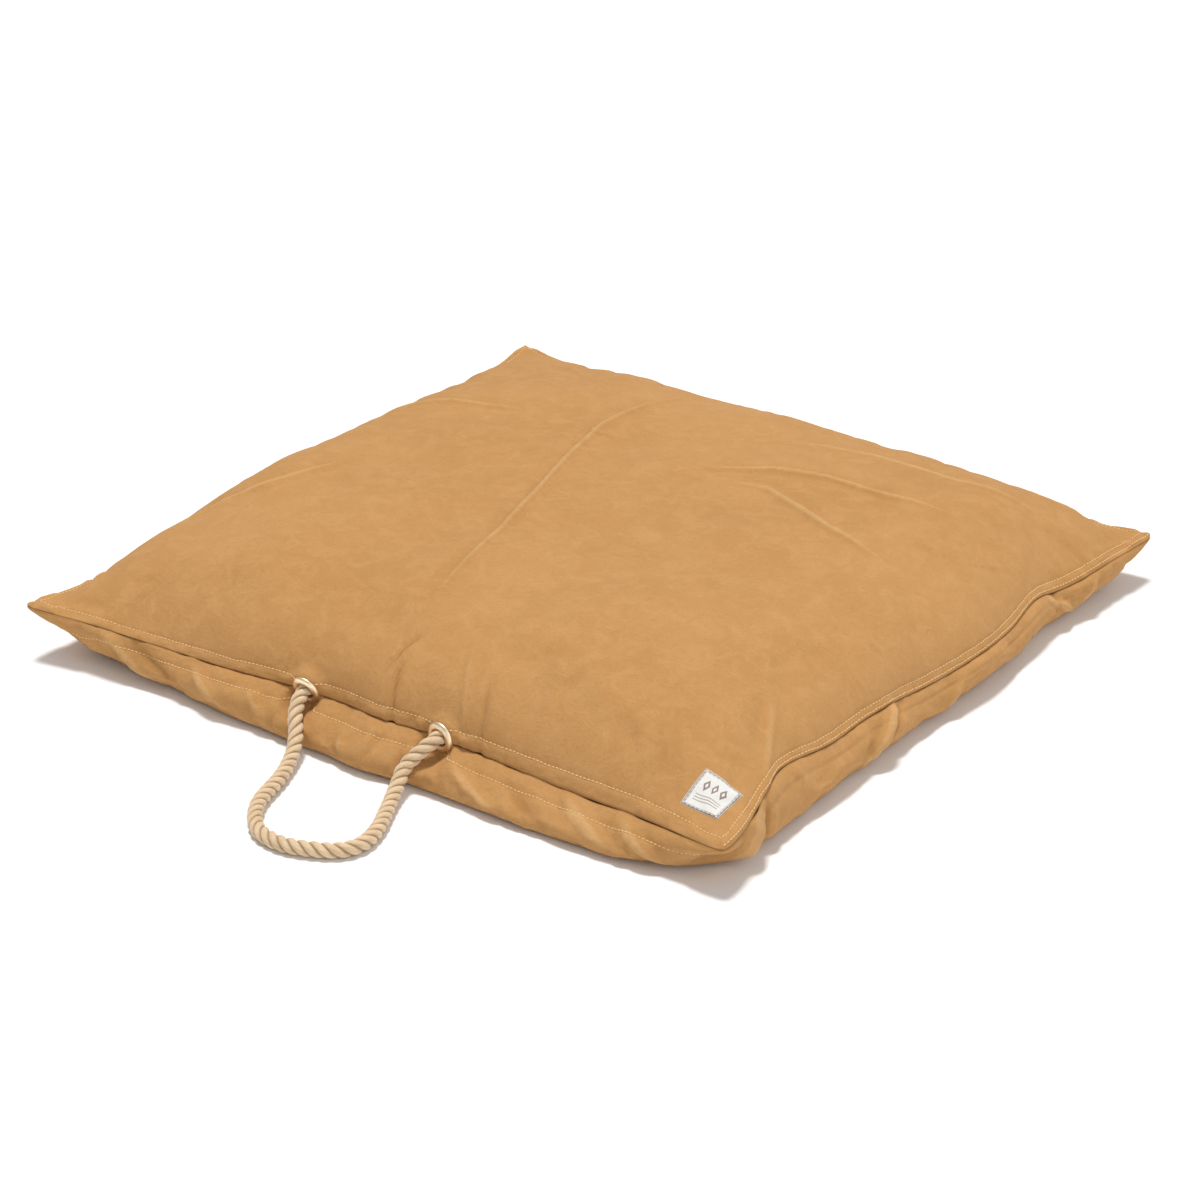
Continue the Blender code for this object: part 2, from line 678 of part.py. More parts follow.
def make_zip(parts, cutters):
    """Two tapes with a coil on each, a slider with a pull tab, and a stop at each end."""
    edge = COVER_OUTSIDE.plan(0, 1)[1]
    frame = bpy.data.objects.new("zip_line", None)
    parts.objects.link(frame)
    frame.location = (0, edge - ZIP_DEPTH, seam_height(0, 1))
    frame.rotation_euler = (0, math.atan((TIP_LEFT_BACK - TIP_RIGHT_BACK) / SIDE), 0)

    coil_middle = COIL_THICKNESS / 2 + GAP
    for name, way in (("upper", 1), ("lower", -1)):
        size = (ZIP_LENGTH + 2 * STOP_LENGTH, TAPE_THICKNESS, TAPE_WIDTH)
        centre = (0, -TAPE_THICKNESS / 2, way * (COIL_SPACE / 2 + TAPE_WIDTH / 2))
        tape = block(f"zip_tape_{name}", size, centre, frame, parts)
        paint(tape, (0.55, 0.36, 0.16), 0.9)
        size = (ZIP_LENGTH - 2 * GAP, COIL_THICKNESS, COIL_WIDTH)
        centre = (0, coil_middle, way * (COIL_SPACE + COIL_WIDTH) / 2)
        coil = block(f"zip_coil_{name}", size, centre, frame, parts)
        paint(coil, (0.62, 0.44, 0.22), 0.45)
    for name, way in (("top", -1), ("bottom", 1)):
        size = (STOP_LENGTH, COIL_THICKNESS, COIL_SPACE + 2 * COIL_WIDTH)
        stop = block(f"zip_{name}_stop", size, (way * (ZIP_LENGTH + STOP_LENGTH) / 2, coil_middle, 0), frame, parts)
        paint(stop, (0.80, 0.58, 0.30), 0.35, 1.0)

    park = bpy.data.objects.new("zip_slide_axis", None)
    parts.objects.link(park)
    park.parent = frame
    park.location = (-ZIP_LENGTH / 2 + SLIDER_LENGTH / 2 + GAP, 0, 0)
    outer = COIL_THICKNESS + 2 * GAP
    inner = -TAPE_THICKNESS - GAP
    plate_size = (SLIDER_LENGTH, SLIDER_PLATE, SLIDER_WIDTH)
    slider = block("zip_slider", plate_size, (0, outer + SLIDER_PLATE / 2, 0), park, parts)
    back_plate = block("slider_back_plate", plate_size, (0, inner - SLIDER_PLATE / 2, 0), park, cutters)
    bridge_size = (SLIDER_LENGTH / 4, outer - inner + SLIDER_PLATE, SLIDER_BRIDGE)
    bridge = block("slider_bridge", bridge_size, (-SLIDER_LENGTH / 3, (outer + inner) / 2, 0), park, cutters)
    boolean(slider, bridge, "UNION")
    boolean(slider, back_plate, "UNION")
    plate_top = outer + SLIDER_PLATE
    for way in (-1, 1):
        leg_size = (BAIL_ROD, BAIL_CLEAR + BAIL_ROD, BAIL_ROD * 1.6)
        spot = (way * (BAIL_LENGTH - BAIL_ROD) / 2, plate_top + (BAIL_CLEAR + BAIL_ROD) / 2 - GAP, 0)
        leg = block(f"slider_bail_leg_{way + 1}", leg_size, spot, park, cutters)
        boolean(slider, leg, "UNION")
    bar_size = (BAIL_LENGTH - BAIL_ROD, BAIL_ROD, BAIL_ROD * 1.6 - GAP)
    bar = block("slider_bail_bar", bar_size, (0, plate_top + BAIL_CLEAR + BAIL_ROD / 2 - GAP, 0), park, cutters)
    boolean(slider, bar, "UNION")
    paint(slider, (0.80, 0.58, 0.30), 0.32, 1.0)

    tab = pull_tab("zip_pull_tab", parts)
    tab.parent = park
    tab.location = (0, plate_top + (BAIL_CLEAR - GAP) / 2, 0)
    paint(tab, (0.80, 0.58, 0.30), 0.32, 1.0)


def pull_tab(name, parts):
    """A flat tab with an eye. The bar at its end lies under the slider's bail and is its hinge."""
    mesh = bpy.data.meshes.new(name)
    bm = bmesh.new()
    bmesh.ops.create_grid(bm, x_segments=3, y_segments=3, size=1)
    across = (-TAB_WIDTH / 2, -TAB_WIDTH / 2 + TAB_BAR, TAB_WIDTH / 2 - TAB_BAR, TAB_WIDTH / 2)
    along = (-TAB_BAR / 2, TAB_BAR / 2, TAB_BAR / 2 + TAB_EYE, TAB_LENGTH)
    eye = min(bm.faces, key=lambda face: face.calc_center_median().length)
    bmesh.ops.delete(bm, geom=[eye], context="FACES_ONLY")
    for vert in bm.verts:
        column = round((vert.co.x + 1) * 1.5)
        row = round((vert.co.y + 1) * 1.5)
        vert.co = (along[column], -TAB_THICKNESS / 2, across[row])
    skirt = bmesh.ops.extrude_face_region(bm, geom=bm.faces[:])["geom"]
    raised = [item for item in skirt if isinstance(item, bmesh.types.BMVert)]
    bmesh.ops.translate(bm, verts=raised, vec=(0, TAB_THICKNESS, 0))
    face_outwards(bm)
    bm.to_mesh(mesh)
    bm.free()
    obj = bpy.data.objects.new(name, mesh)
    parts.objects.link(obj)
    return obj


def main():
    clear_scene()
    parts = new_collection("floor_cushion")
    cutters = new_collection("cutters")
    make_cover(parts, cutters)
    make_topstitching(parts)
    make_insert(parts)
    make_grommets(parts)
    make_rope(parts)
    make_label(parts)
    make_zip(parts, cutters)


main()
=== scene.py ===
import math

import bmesh
import bpy
import numpy as np
from mathutils import Matrix, Vector
from mathutils.bvhtree import BVHTree


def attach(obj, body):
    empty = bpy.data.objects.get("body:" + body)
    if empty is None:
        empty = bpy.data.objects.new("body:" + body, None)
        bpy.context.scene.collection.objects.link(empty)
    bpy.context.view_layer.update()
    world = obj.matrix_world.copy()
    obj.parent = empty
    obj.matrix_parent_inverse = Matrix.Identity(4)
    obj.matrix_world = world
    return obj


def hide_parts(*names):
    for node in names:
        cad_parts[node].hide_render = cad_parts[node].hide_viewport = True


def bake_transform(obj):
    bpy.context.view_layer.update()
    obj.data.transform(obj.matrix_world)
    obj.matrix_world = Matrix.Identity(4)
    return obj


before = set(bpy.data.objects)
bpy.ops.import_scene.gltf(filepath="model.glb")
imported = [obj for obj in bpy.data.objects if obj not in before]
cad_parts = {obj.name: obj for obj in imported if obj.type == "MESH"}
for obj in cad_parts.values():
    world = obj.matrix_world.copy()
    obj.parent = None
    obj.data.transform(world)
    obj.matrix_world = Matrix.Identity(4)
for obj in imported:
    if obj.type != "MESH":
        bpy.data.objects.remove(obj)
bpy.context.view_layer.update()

# The studio: a pale floor that runs on into a white surround, one broad light high on the left,
# and a long lens that looks down on the corner with the label.
scene = bpy.context.scene
scene.view_settings.view_transform = "Standard"

floor_mesh = bpy.data.meshes.new("floor")
bm = bmesh.new()
bmesh.ops.create_grid(bm, x_segments=1, y_segments=1, size=30)
bmesh.ops.translate(bm, verts=bm.verts[:], vec=(0, 0, -0.0004))
bm.to_mesh(floor_mesh)
bm.free()
floor = bpy.data.objects.new("floor", floor_mesh)
scene.collection.objects.link(floor)
floor_paint = bpy.data.materials.new("floor_paint")
floor_paint.use_nodes = True
floor_shader = floor_paint.node_tree.nodes["Principled BSDF"]
floor_shader.inputs["Base Color"].default_value = (0.9, 0.9, 0.9, 1)
floor_shader.inputs["Roughness"].default_value = 0.8
floor_shader.inputs["Specular IOR Level"].default_value = 0.2
floor_mesh.materials.append(floor_paint)

world = bpy.data.worlds.new("surround")
scene.world = world
world.use_nodes = True
world.node_tree.nodes["Background"].inputs["Color"].default_value = (0.985, 0.99, 1.0, 1)
world.node_tree.nodes["Background"].inputs["Strength"].default_value = 0.43

key = bpy.data.lights.new("key", "SUN")
key.energy = 2.72
key.angle = math.radians(13)
key.color = (1.0, 0.985, 0.965)
key_light = bpy.data.objects.new("key", key)
key_light.rotation_euler = Vector((-0.16, 0.12, 1.0)).to_track_quat("Z", "Y").to_euler()
scene.collection.objects.link(key_light)

fill = bpy.data.lights.new("fill", "SUN")
fill.energy = 1.0
fill.angle = math.radians(70)
fill_light = bpy.data.objects.new("fill", fill)
fill_light.rotation_euler = Vector((0.80, -0.30, 0.36)).to_track_quat("Z", "Y").to_euler()
scene.collection.objects.link(fill_light)

lens = bpy.data.cameras.new("camera")
lens.lens = 90
lens.sensor_width = 36
lens.clip_end = 100
camera = bpy.data.objects.new("camera", lens)
camera.location = (1.8028, -2.5557, 1.4577)
camera_right = Vector((0.8155, 0.5787, 0.0))
camera_back = Vector((0.5257, -0.7408, 0.4180))
camera_up = camera_back.cross(camera_right)
camera.rotation_euler = Matrix((camera_right, camera_up, camera_back)).transposed().to_euler()
scene.collection.objects.link(camera)
scene.camera = camera

# The rope handle: one length of three-strand laid cotton, right-hand lay. It comes through both
# grommets from its stopper knots, drops to the floor and lies there in an open loop.
STRAND_RADIUS = 0.0041
STRAND_OFFSET = 0.0041
ROPE_LAY = 0.037
ROPE_STEP = 0.0015
GROMMET_CENTRES = {
    "left": Vector((-0.0870, -0.4262, 0.0513)),
    "right": Vector((0.0920, -0.4263, 0.0485)),
}
GROMMET_NORMALS = {
    "left": Vector((0.0, -0.9397, -0.3420)),
    "right": Vector((-0.1388, -0.9879, -0.0698)),
}
ROPE_MOUTHS = {
    "left": Vector((-0.0870, -0.4365, 0.0475)),
    "right": Vector((0.0905, -0.4372, 0.0477)),
}
KNOT_DEPTH = 0.0165
ROPE_ROUTE = (
    (-0.078, -0.456, 0.036),
    (-0.066, -0.470, 0.024),
    (-0.055, -0.488, 0.0135),
    (-0.044, -0.511, 0.009),
    (-0.034, -0.536, 0.0083),
    (-0.016, -0.588, 0.0083),
    (0.016, -0.625, 0.0083),
    (0.053, -0.635, 0.0083),
    (0.086, -0.627, 0.0083),
    (0.112, -0.611, 0.0083),
    (0.121, -0.588, 0.0083),
    (0.114, -0.557, 0.0083),
    (0.100, -0.527, 0.0083),
    (0.088, -0.502, 0.010),
    (0.080, -0.482, 0.016),
    (0.076, -0.463, 0.027),
)


class Value:
    """A socket in a material's node tree. Arithmetic on it adds Math nodes."""

    def __init__(self, finish, socket):
        self.finish = finish
        self.socket = socket

    def math(self, operation, *others):
        return self.finish.node("Math", {"operation": operation}, dict(enumerate((self, *others))))

    def __add__(self, other):
        return self.math("ADD", other)

    def __sub__(self, other):
        return self.math("SUBTRACT", other)

    def __rsub__(self, other):
        return self.finish.node("Math", {"operation": "SUBTRACT"}, {0: other, 1: self})

    def __mul__(self, other):
        return self.math("MULTIPLY", other)

    def __truediv__(self, other):
        return self.math("DIVIDE", other)

    __radd__ = __add__
    __rmul__ = __mul__

    def between(self, low, high):
        """0 at low and below it, 1 at high and above it."""
        sockets = {"Value": self, "From Min": low, "From Max": high}
        return self.finish.node("MapRange", {"interpolation_type": "SMOOTHSTEP"}, sockets)


class Finish:
    """One material: a shader with its fixed settings, and the nodes that vary over the surface."""

    def __init__(self, name, **settings):
        self.material = bpy.data.materials.new(name)
        self.material.use_nodes = True
        self.tree = self.material.node_tree
        self.shader = self.tree.nodes["Principled BSDF"]
        for socket, value in settings.items():
            self.put(self.shader.inputs[socket.replace("_", " ")], value)

    def put(self, socket, value):
        if isinstance(value, Value):
            self.tree.links.new(value.socket, socket)
        elif socket.type == "RGBA":
            socket.default_value = (*value[:3], 1)
        else:
            socket.default_value = value

    def node(self, kind, settings=None, sockets=None, output=0):
        made = self.tree.nodes.new("ShaderNode" + kind)
        for setting, value in (settings or {}).items():
            setattr(made, setting, value)
        for socket, value in (sockets or {}).items():
            self.put(made.inputs[socket], value)
        return Value(self, made.outputs[output])

    def place(self):
        return self.node("TexCoord", output="Object")

    def noise(self, place, scale, detail=2.0, roughness=0.5, distortion=0.0):
        sockets = {"Vector": place, "Scale": scale, "Detail": detail}
        sockets.update({"Roughness": roughness, "Distortion": distortion})
        return self.node("TexNoise", {}, sockets, "Fac")

    def measure(self, name):
        return self.node("Attribute", {"attribute_name": name}, output="Fac")

    def stretched(self, place, scale):
        return self.node("Mapping", {}, {"Vector": place, "Scale": scale})

    def axes(self, vector):
        split = self.node("SeparateXYZ", {}, {0: vector})
        return [Value(self, out) for out in split.socket.node.outputs]

    def blend(self, share, first, second):
        return self.node("Mix", {"data_type": "RGBA"}, {0: share, 6: first, 7: second}, 2)

    def relief(self, height, distance=1.0, strength=1.0):
        sockets = {"Strength": strength, "Distance": distance, "Height": height}
        self.put(self.shader.inputs["Normal"], self.node("Bump", {}, sockets))

    def vary(self, **sockets):
        for socket, value in sockets.items():
            self.put(self.shader.inputs[socket.replace("_", " ")], value)


def add_piece(name, bm, finish, body="cushion"):
    """Make a finished piece from its bmesh, and let it ride on its body."""
    mesh = bpy.data.meshes.new(name)
    for face in bm.faces:
        face.smooth = True
    bm.to_mesh(mesh)
    bm.free()
    mesh.materials.append(finish.material)
    obj = bpy.data.objects.new(name, mesh)
    scene.collection.objects.link(obj)
    if body:
        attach(obj, body)
    return obj


def run_along(line):
    """Distance from the start of a line to each of its points."""
    return np.concatenate([[0], np.cumsum(np.linalg.norm(np.diff(line, axis=0), axis=1))])


def smooth_line(points, step):
    """A Catmull-Rom curve through the points, cut at even steps of its length."""
    points = np.array(points, float)
    ends = np.vstack([2 * points[0] - points[1], points, 2 * points[-1] - points[-2]])
    share = np.linspace(0, 1, 40, endpoint=False)[:, None]
    dense = []
    for a, b, c, d in zip(ends, ends[1:], ends[2:], ends[3:]):
        bend = (2 * a - 5 * b + 4 * c - d) * share**2
        dense.append(0.5 * (2 * b + (c - a) * share + bend + (3 * b - a - 3 * c + d) * share**3))
    dense = np.vstack(dense + [points[-1:]])
    run = run_along(dense)
    even = np.linspace(0, run[-1], round(run[-1] / step) + 1)
    return np.stack([np.interp(even, run, dense[:, axis]) for axis in range(3)], axis=1)


def carried_frames(line):
    """Two unit directions square to the line at each of its points, carried along without twist."""
    along = np.gradient(line, axis=0)
    along /= np.linalg.norm(along, axis=1)[:, None]
    first = np.cross(along[0], (0.0, 0.0, 1.0))
    firsts = []
    for direction in along:
        first = first - direction * np.dot(first, direction)
        first = first / np.linalg.norm(first)
        firsts.append(first)
    firsts = np.array(firsts)
    return firsts, np.cross(along, firsts)


def add_tube(bm, line, radius, sides):
    """A round tube with closed ends on a line, with its unrolled surface in a UV map."""
    first, second = carried_frames(line)
    run = run_along(line)
    made = bmesh.ops.create_grid(bm, x_segments=len(line) - 1, y_segments=sides, size=1)["verts"]
    layer = bm.loops.layers.uv.get("strand") or bm.loops.layers.uv.new("strand")
    spots = {}
    for vert in made:
        step = round((vert.co.x + 1) / 2 * (len(line) - 1))
        turn = (vert.co.y + 1) / 2
        spots[vert] = (turn, run[step])
        angle = 2 * math.pi * turn
        ring = first[step] * math.cos(angle) + second[step] * math.sin(angle)
        vert.co = Vector(line[step] + radius * ring)
    for face in {face for vert in made for face in vert.link_faces}:
        for loop in face.loops:
            loop[layer].uv = spots[loop.vert]
    bmesh.ops.remove_doubles(bm, verts=made, dist=radius * 0.01)
    made = [vert for vert in made if vert.is_valid]
    rims = [edge for vert in made for edge in vert.link_edges if edge.is_boundary]
    bmesh.ops.holes_fill(bm, edges=list(set(rims)), sides=0)
    faces = list({face for vert in made for face in vert.link_faces})
    bmesh.ops.recalc_face_normals(bm, faces=faces)


rope_ends = {side: GROMMET_CENTRES[side] - GROMMET_NORMALS[side] * KNOT_DEPTH for side in GROMMET_CENTRES}
rope_line = smooth_line(
    [rope_ends["left"], ROPE_MOUTHS["left"], *ROPE_ROUTE, ROPE_MOUTHS["right"], rope_ends["right"]], ROPE_STEP
)
rope_length = float(np.linalg.norm(np.diff(rope_line, axis=0), axis=1).sum())

cotton = Finish(
    "laid_cotton", Roughness=0.92, Sheen_Weight=0.25, Sheen_Roughness=0.6, Specular_IOR_Level=0.15
)
strand_uv = cotton.node("UVMap", {"uv_map": "strand"})
around, along = cotton.axes(strand_uv)[:2]
yarn = (along * 2 * math.pi / 0.010 + around * 2 * math.pi * 7).math("SINE") * 0.5 + 0.5
fibre = cotton.noise(cotton.place(), 900, 4, 0.7)
cloud = cotton.noise(cotton.place(), 55, 3, 0.6)
tone = cotton.blend(cloud.between(0.3, 0.7), (0.600, 0.425, 0.246), (0.725, 0.540, 0.340))
tone = cotton.blend(fibre.between(0.35, 0.75) * 0.5, tone, (0.80, 0.65, 0.45))
tone = cotton.blend((1 - yarn) * 0.14, tone, (0.42, 0.27, 0.13))
# Painted shade: the strands are darkened where they dip toward the middle of the rope, in the grooves between
# them.
groove_shade = 1 - cotton.measure("crown").between(0.72, 0.93)
tone = cotton.blend(groove_shade * 0.62, tone, (0.27, 0.155, 0.065))
cotton.vary(Base_Color=tone)
cotton.relief(yarn * 0.00014 + fibre * 0.0005)

bm = bmesh.new()
rope_first, rope_second = carried_frames(rope_line)
rope_run = np.arange(len(rope_line)) * (rope_length / (len(rope_line) - 1))
for strand in range(3):
    angle = 2 * np.pi * (rope_run / ROPE_LAY + strand / 3)
    offset = rope_first * np.cos(angle)[:, None] + rope_second * np.sin(angle)[:, None]
    add_tube(bm, rope_line + STRAND_OFFSET * offset, STRAND_RADIUS, 14)
crown = bm.verts.layers.float.new("crown")
spans = [(i, i + 1, i + 1) for i in range(len(rope_line) - 1)]
middle_line = BVHTree.FromPolygons([tuple(point) for point in rope_line], spans)
for vert in bm.verts:
    vert[crown] = middle_line.find_nearest(vert.co)[3] / (STRAND_RADIUS + STRAND_OFFSET)
rope = add_piece("rope_handle_cotton", bm, cotton, body=None)
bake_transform(rope)
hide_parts("rope_handle", "rope_tail_left", "rope_tail_right")

# The cover: two square panels of waxed cotton canvas, sewn edge to edge and turned, and stuffed
# tight. The seam sags between lifted tips, and the cloth creases where it was folded.
HALF = 0.457
CROWN = 0.145
TIPS = {"left_front": 0.0635, "left_back": 0.0955, "right_back": 0.0519, "right_front": 0.0501}
PULLS = {"left": 0.012, "right": 0.018, "front": 0.032, "back": 0.012}
SEAM_SAG = 0.008
CANVAS = 0.0012
WALL_ROUND = 0.024
MEAN_SEAM = 0.055
WALL_BULGE = 0.012
CORNER_LIFT = 0.16
GROOVE = 0.0007
STITCH_ROW = 0.011
CLOTH_STEP = 0.0038
CLOTH_REACH = {"top": 0.51, "bottom": 0.50}
SEAM_WIDTH = 0.0014
NEAR_ROWS = (
    *(0.0, 0.0005, 0.0011, 0.0019, 0.0030, 0.0044, 0.0062, 0.0080, 0.0096),
    *(STITCH_ROW, 0.0124, 0.0146, 0.0180, 0.0220),
)
PINCHES = {"left_front": 0.80, "left_back": 0.55, "right_back": 0.75, "right_front": 0.40}
LEFT_SAG = 0.008
TIP_ROUNDING = 0.030
TIP_REACH = {"left_front": 0.019, "left_back": 0.0145, "right_back": 0.0145, "right_front": 0.0145}
FRONT_FOOT = 0.048
RIGHT_FOOT = 0.012
DENSE = HALF * np.linspace(0, 1, 900) ** 3


def bump_at(place, centre, width):
    return np.exp(-(((place - centre) / width) ** 2))


def front_wave(x):
    """How far the front seam stands out from its even line."""
    return (
        0.006 * bump_at(x, -0.185, 0.05)
        + 0.009 * bump_at(x, 0.015, 0.035)
        - 0.003 * bump_at(x, 0.33, 0.05)
    )


def right_wave(y):
    """How far the right seam stands out, and how much it rises with that."""
    return (
        0.009 * bump_at(y, 0.07, 0.075)
        - 0.007 * bump_at(y, -0.30, 0.075)
        - 0.009 * bump_at(y, 0.262, 0.04)
        + 0.004 * bump_at(y, -0.12, 0.03)
    )


def right_draw(y):
    """How far the right seam is drawn in over the foot of its wall."""
    return (
        0.012 * bump_at(y, -0.30, 0.07)
        + 0.010 * bump_at(y, -0.15, 0.10)
        + 0.006 * bump_at(y, 0.215, 0.05)
    )


def right_rise(y):
    """How far the stuffing pushes the right seam up."""
    return (
        0.020 * bump_at(y, -0.31, 0.085)
        + 0.010 * bump_at(y, -0.14, 0.10)
        + 0.009 * bump_at(y, 0.215, 0.05)
    )


def left_wave(y):
    """How far the left seam stands out from its even line."""
    return 0.004 * bump_at(y, -0.2, 0.08) - 0.005 * bump_at(y, 0.05, 0.06) + 0.004 * bump_at(y, 0.25, 0.05)


def between_tips(values, u, v):
    """A value that goes evenly from tip to tip over the plan."""
    right, back = (1 + u) / 2, (1 + v) / 2
    front_line = values["left_front"] * (1 - right) + values["right_front"] * right
    back_line = values["left_back"] * (1 - right) + values["right_back"] * right
    return front_line * (1 - back) + back_line * back


def seam_height(u, v):
    """Height of the seam over the floor, as a surface over the whole plan."""
    back = (1 + v) / 2
    sag = (1 - u * u) * (1 - back) + (1 - v * v) * u * u
    level = between_tips(TIPS, u, v) - SEAM_SAG * sag
    level = level - LEFT_SAG * (1 - v * v) * np.clip(-u, 0, 1) ** 3
    level = level + (0.6 * right_wave(v * HALF) + right_rise(v * HALF)) * np.clip(u, 0, 1) ** 6
    level = level - 0.006 * (bump_at(u, -0.62, 0.3) + bump_at(u, 0.58, 0.3)) * np.clip(-v, 0, 1) ** 6
    return level + 0.3 * front_wave(u * HALF) * np.clip(-v, 0, 1) ** 6


def fullness(u, v):
    """Share of its rise that the top has: none at the seam, all of it at the crown."""
    swell = np.clip((1 - abs(u) ** 5) * (1 - abs(v) ** 5), 0, 1)
    back = (1 + v) / 2
    pinch = between_tips(PINCHES, u, v)
    left = np.clip(-u, 0, 1) ** 2 * (1 - v * v)
    return swell ** (0.5 + 0.1 * back - 0.15 * left + pinch * abs(u * v) ** 2)


def quarter_round(inset, width):
    return np.sqrt(np.clip(1 - (1 - np.clip(inset / width, 0, 1)) ** 2, 0, 1))


def wall_share(across, u, v):
    """How far down the wall the underside is, seen from the nearer side."""
    width = WALL_ROUND + CORNER_LIFT * abs(u * v) ** 6
    return quarter_round(HALF * (1 - abs(across)), width)


def rise(side, across, other):
    if side == "top":
        return (CROWN - MEAN_SEAM) * fullness(across, other)
    return MEAN_SEAM * wall_share(across, across, other) * wall_share(other, across, other)


def spaced(side, other, distances, shares):
    """Places across the panel, on lines at set distances along the cloth from the seam."""
    across = 1 - DENSE / HALF
    height = rise(side, across[None, :], other[:, None])
    run = np.hypot(np.diff(DENSE)[None, :], np.diff(height, axis=1))
    run = np.concatenate([np.zeros((len(other), 1)), np.cumsum(run, axis=1)], axis=1)
    places = []
    for line in run:
        wanted = np.concatenate([distances, distances[-1] + (line[-1] - distances[-1]) * shares])
        places.append(1 - np.interp(wanted, line, DENSE) / HALF)
    places = np.array(places)
    return np.concatenate([-places, places[:, -2::-1]], axis=1), line[-1]


def panel_shape(side, distances, steps):
    """Points of a panel's outer face in rows and columns, and each line's distance from its seam."""
    shares = np.linspace(0, 1, steps + 1)[1:]
    middle, reach = spaced(side, np.array([0.0]), distances, shares)
    lines = middle[0]
    u = spaced(side, lines, distances, shares)[0]
    v = u.T
    half = np.concatenate([distances, distances[-1] + (reach - distances[-1]) * shares])
    from_seam = np.concatenate([half, half[-2::-1]])
    sideways = np.where(u > 0, PULLS["right"], PULLS["left"]) * (1 - v * v)
    endways = np.where(v > 0, PULLS["back"] * (1 - abs(u) ** 8), PULLS["front"] * (1 - u * u))
    x = u * (HALF - sideways * abs(u) ** 3)
    y = v * (HALF - endways * abs(v) ** 3)
    x = x + right_wave(v * HALF) * np.clip(u, 0, 1) ** 9 - left_wave(v * HALF) * np.clip(-u, 0, 1) ** 9
    y = y - front_wave(u * HALF) * np.clip(-v, 0, 1) ** 9
    tip = between_tips(TIP_REACH, u, v) * abs(u * v) ** 12
    rounding = 1 - TIP_ROUNDING * abs(u * v) ** 30
    x, y = x * rounding + np.sign(u) * tip, y * rounding + np.sign(v) * tip
    drawn = right_draw(v * HALF) * np.clip(u, 0, 1) ** 9
    seam = seam_height(u, v)
    if side == "top":
        z = seam + (CROWN - seam) * fullness(u, v)
        z = z + 0.009 * abs(u * v) ** 10 * np.clip((1 - np.maximum(abs(u), abs(v))) * 40, 0, 1)
        x = x - drawn
    else:
        across, along = wall_share(u, u, v), wall_share(v, u, v)
        x = x + np.sign(u) * 4 * WALL_BULGE * across * (1 - across) * (1 - v**4)
        y = y + np.sign(v) * 4 * WALL_BULGE * along * (1 - along) * (1 - u**4)
        front_foot = np.clip((u + 0.75) / 0.6, 0, 1) * np.clip((1 - u) / 0.25, 0, 1)
        right_foot = np.clip((v + 0.95) / 0.2, 0, 1) * np.clip((-0.35 - v) / 0.3, 0, 1)
        y = y - FRONT_FOOT * front_foot * along * np.clip(-v, 0, 1) ** 3
        x = x + RIGHT_FOOT * right_foot * across * np.clip(u, 0, 1) ** 3 - drawn * (1 - across)
        z = seam * (1 - across * along)
    return np.stack([x, y, z], axis=2), u, v, from_seam


def unrolled_run(from_seam):
    """Distance along the cloth from one seam to the other, at each line of a panel."""
    middle = len(from_seam) // 2
    return np.concatenate([from_seam[: middle + 1], 2 * from_seam.max() - from_seam[middle + 1 :]])


def outward(points, side):
    """Unit normals of a panel's outer face."""
    across = np.gradient(points, axis=1)
    along = np.gradient(points, axis=0)
    normal = np.cross(across, along)
    normal /= np.maximum(np.linalg.norm(normal, axis=2), 1e-12)[:, :, None]
    return normal if side == "top" else -normal


def panel_object(name, points, finish):
    """A grid of quads with the panel's points, in rows from the front and columns from the left."""
    rows, columns = points.shape[:2]
    bm = bmesh.new()
    bmesh.ops.create_grid(bm, x_segments=columns - 1, y_segments=rows - 1, size=1)
    obj = add_piece(name, bm, finish, body=None)
    flat = np.empty(len(obj.data.vertices) * 3)
    obj.data.vertices.foreach_get("co", flat)
    flat = flat.reshape(-1, 3)
    column = np.rint((flat[:, 0] + 1) / 2 * (columns - 1)).astype(int)
    row = np.rint((flat[:, 1] + 1) / 2 * (rows - 1)).astype(int)
    obj.data.vertices.foreach_set("co", points[row, column].ravel())
    obj.data.update()
    return obj, row, column


def ridge(x, y, path, width, height, valley=0.35):
    """A crease along a path on the plan: a narrow ridge with a shallow valley on each side."""
    path = np.array(path)
    nearest = np.full(x.shape, 1e9)
    share = np.zeros(x.shape)
    lengths = np.linalg.norm(np.diff(path, axis=0), axis=1)
    total = lengths.sum()
    before = 0.0
    for (ax, ay), (bx, by), length in zip(path, path[1:], lengths):
        t = np.clip(((x - ax) * (bx - ax) + (y - ay) * (by - ay)) / length**2, 0, 1)
        away = np.hypot(x - ax - t * (bx - ax), y - ay - t * (by - ay))
        closer = away < nearest
        share = np.where(closer, (before + t * length) / total, share)
        nearest = np.where(closer, away, nearest)
        before += length
    taper = np.clip(np.sin(np.pi * np.clip(share, 0.02, 0.98)), 0, 1) ** 0.5
    beside = np.exp(-(((nearest - 2.2 * width) / (1.2 * width)) ** 2))
    form = np.exp(-((nearest / width) ** 2)) - valley * beside
    return height * taper * form


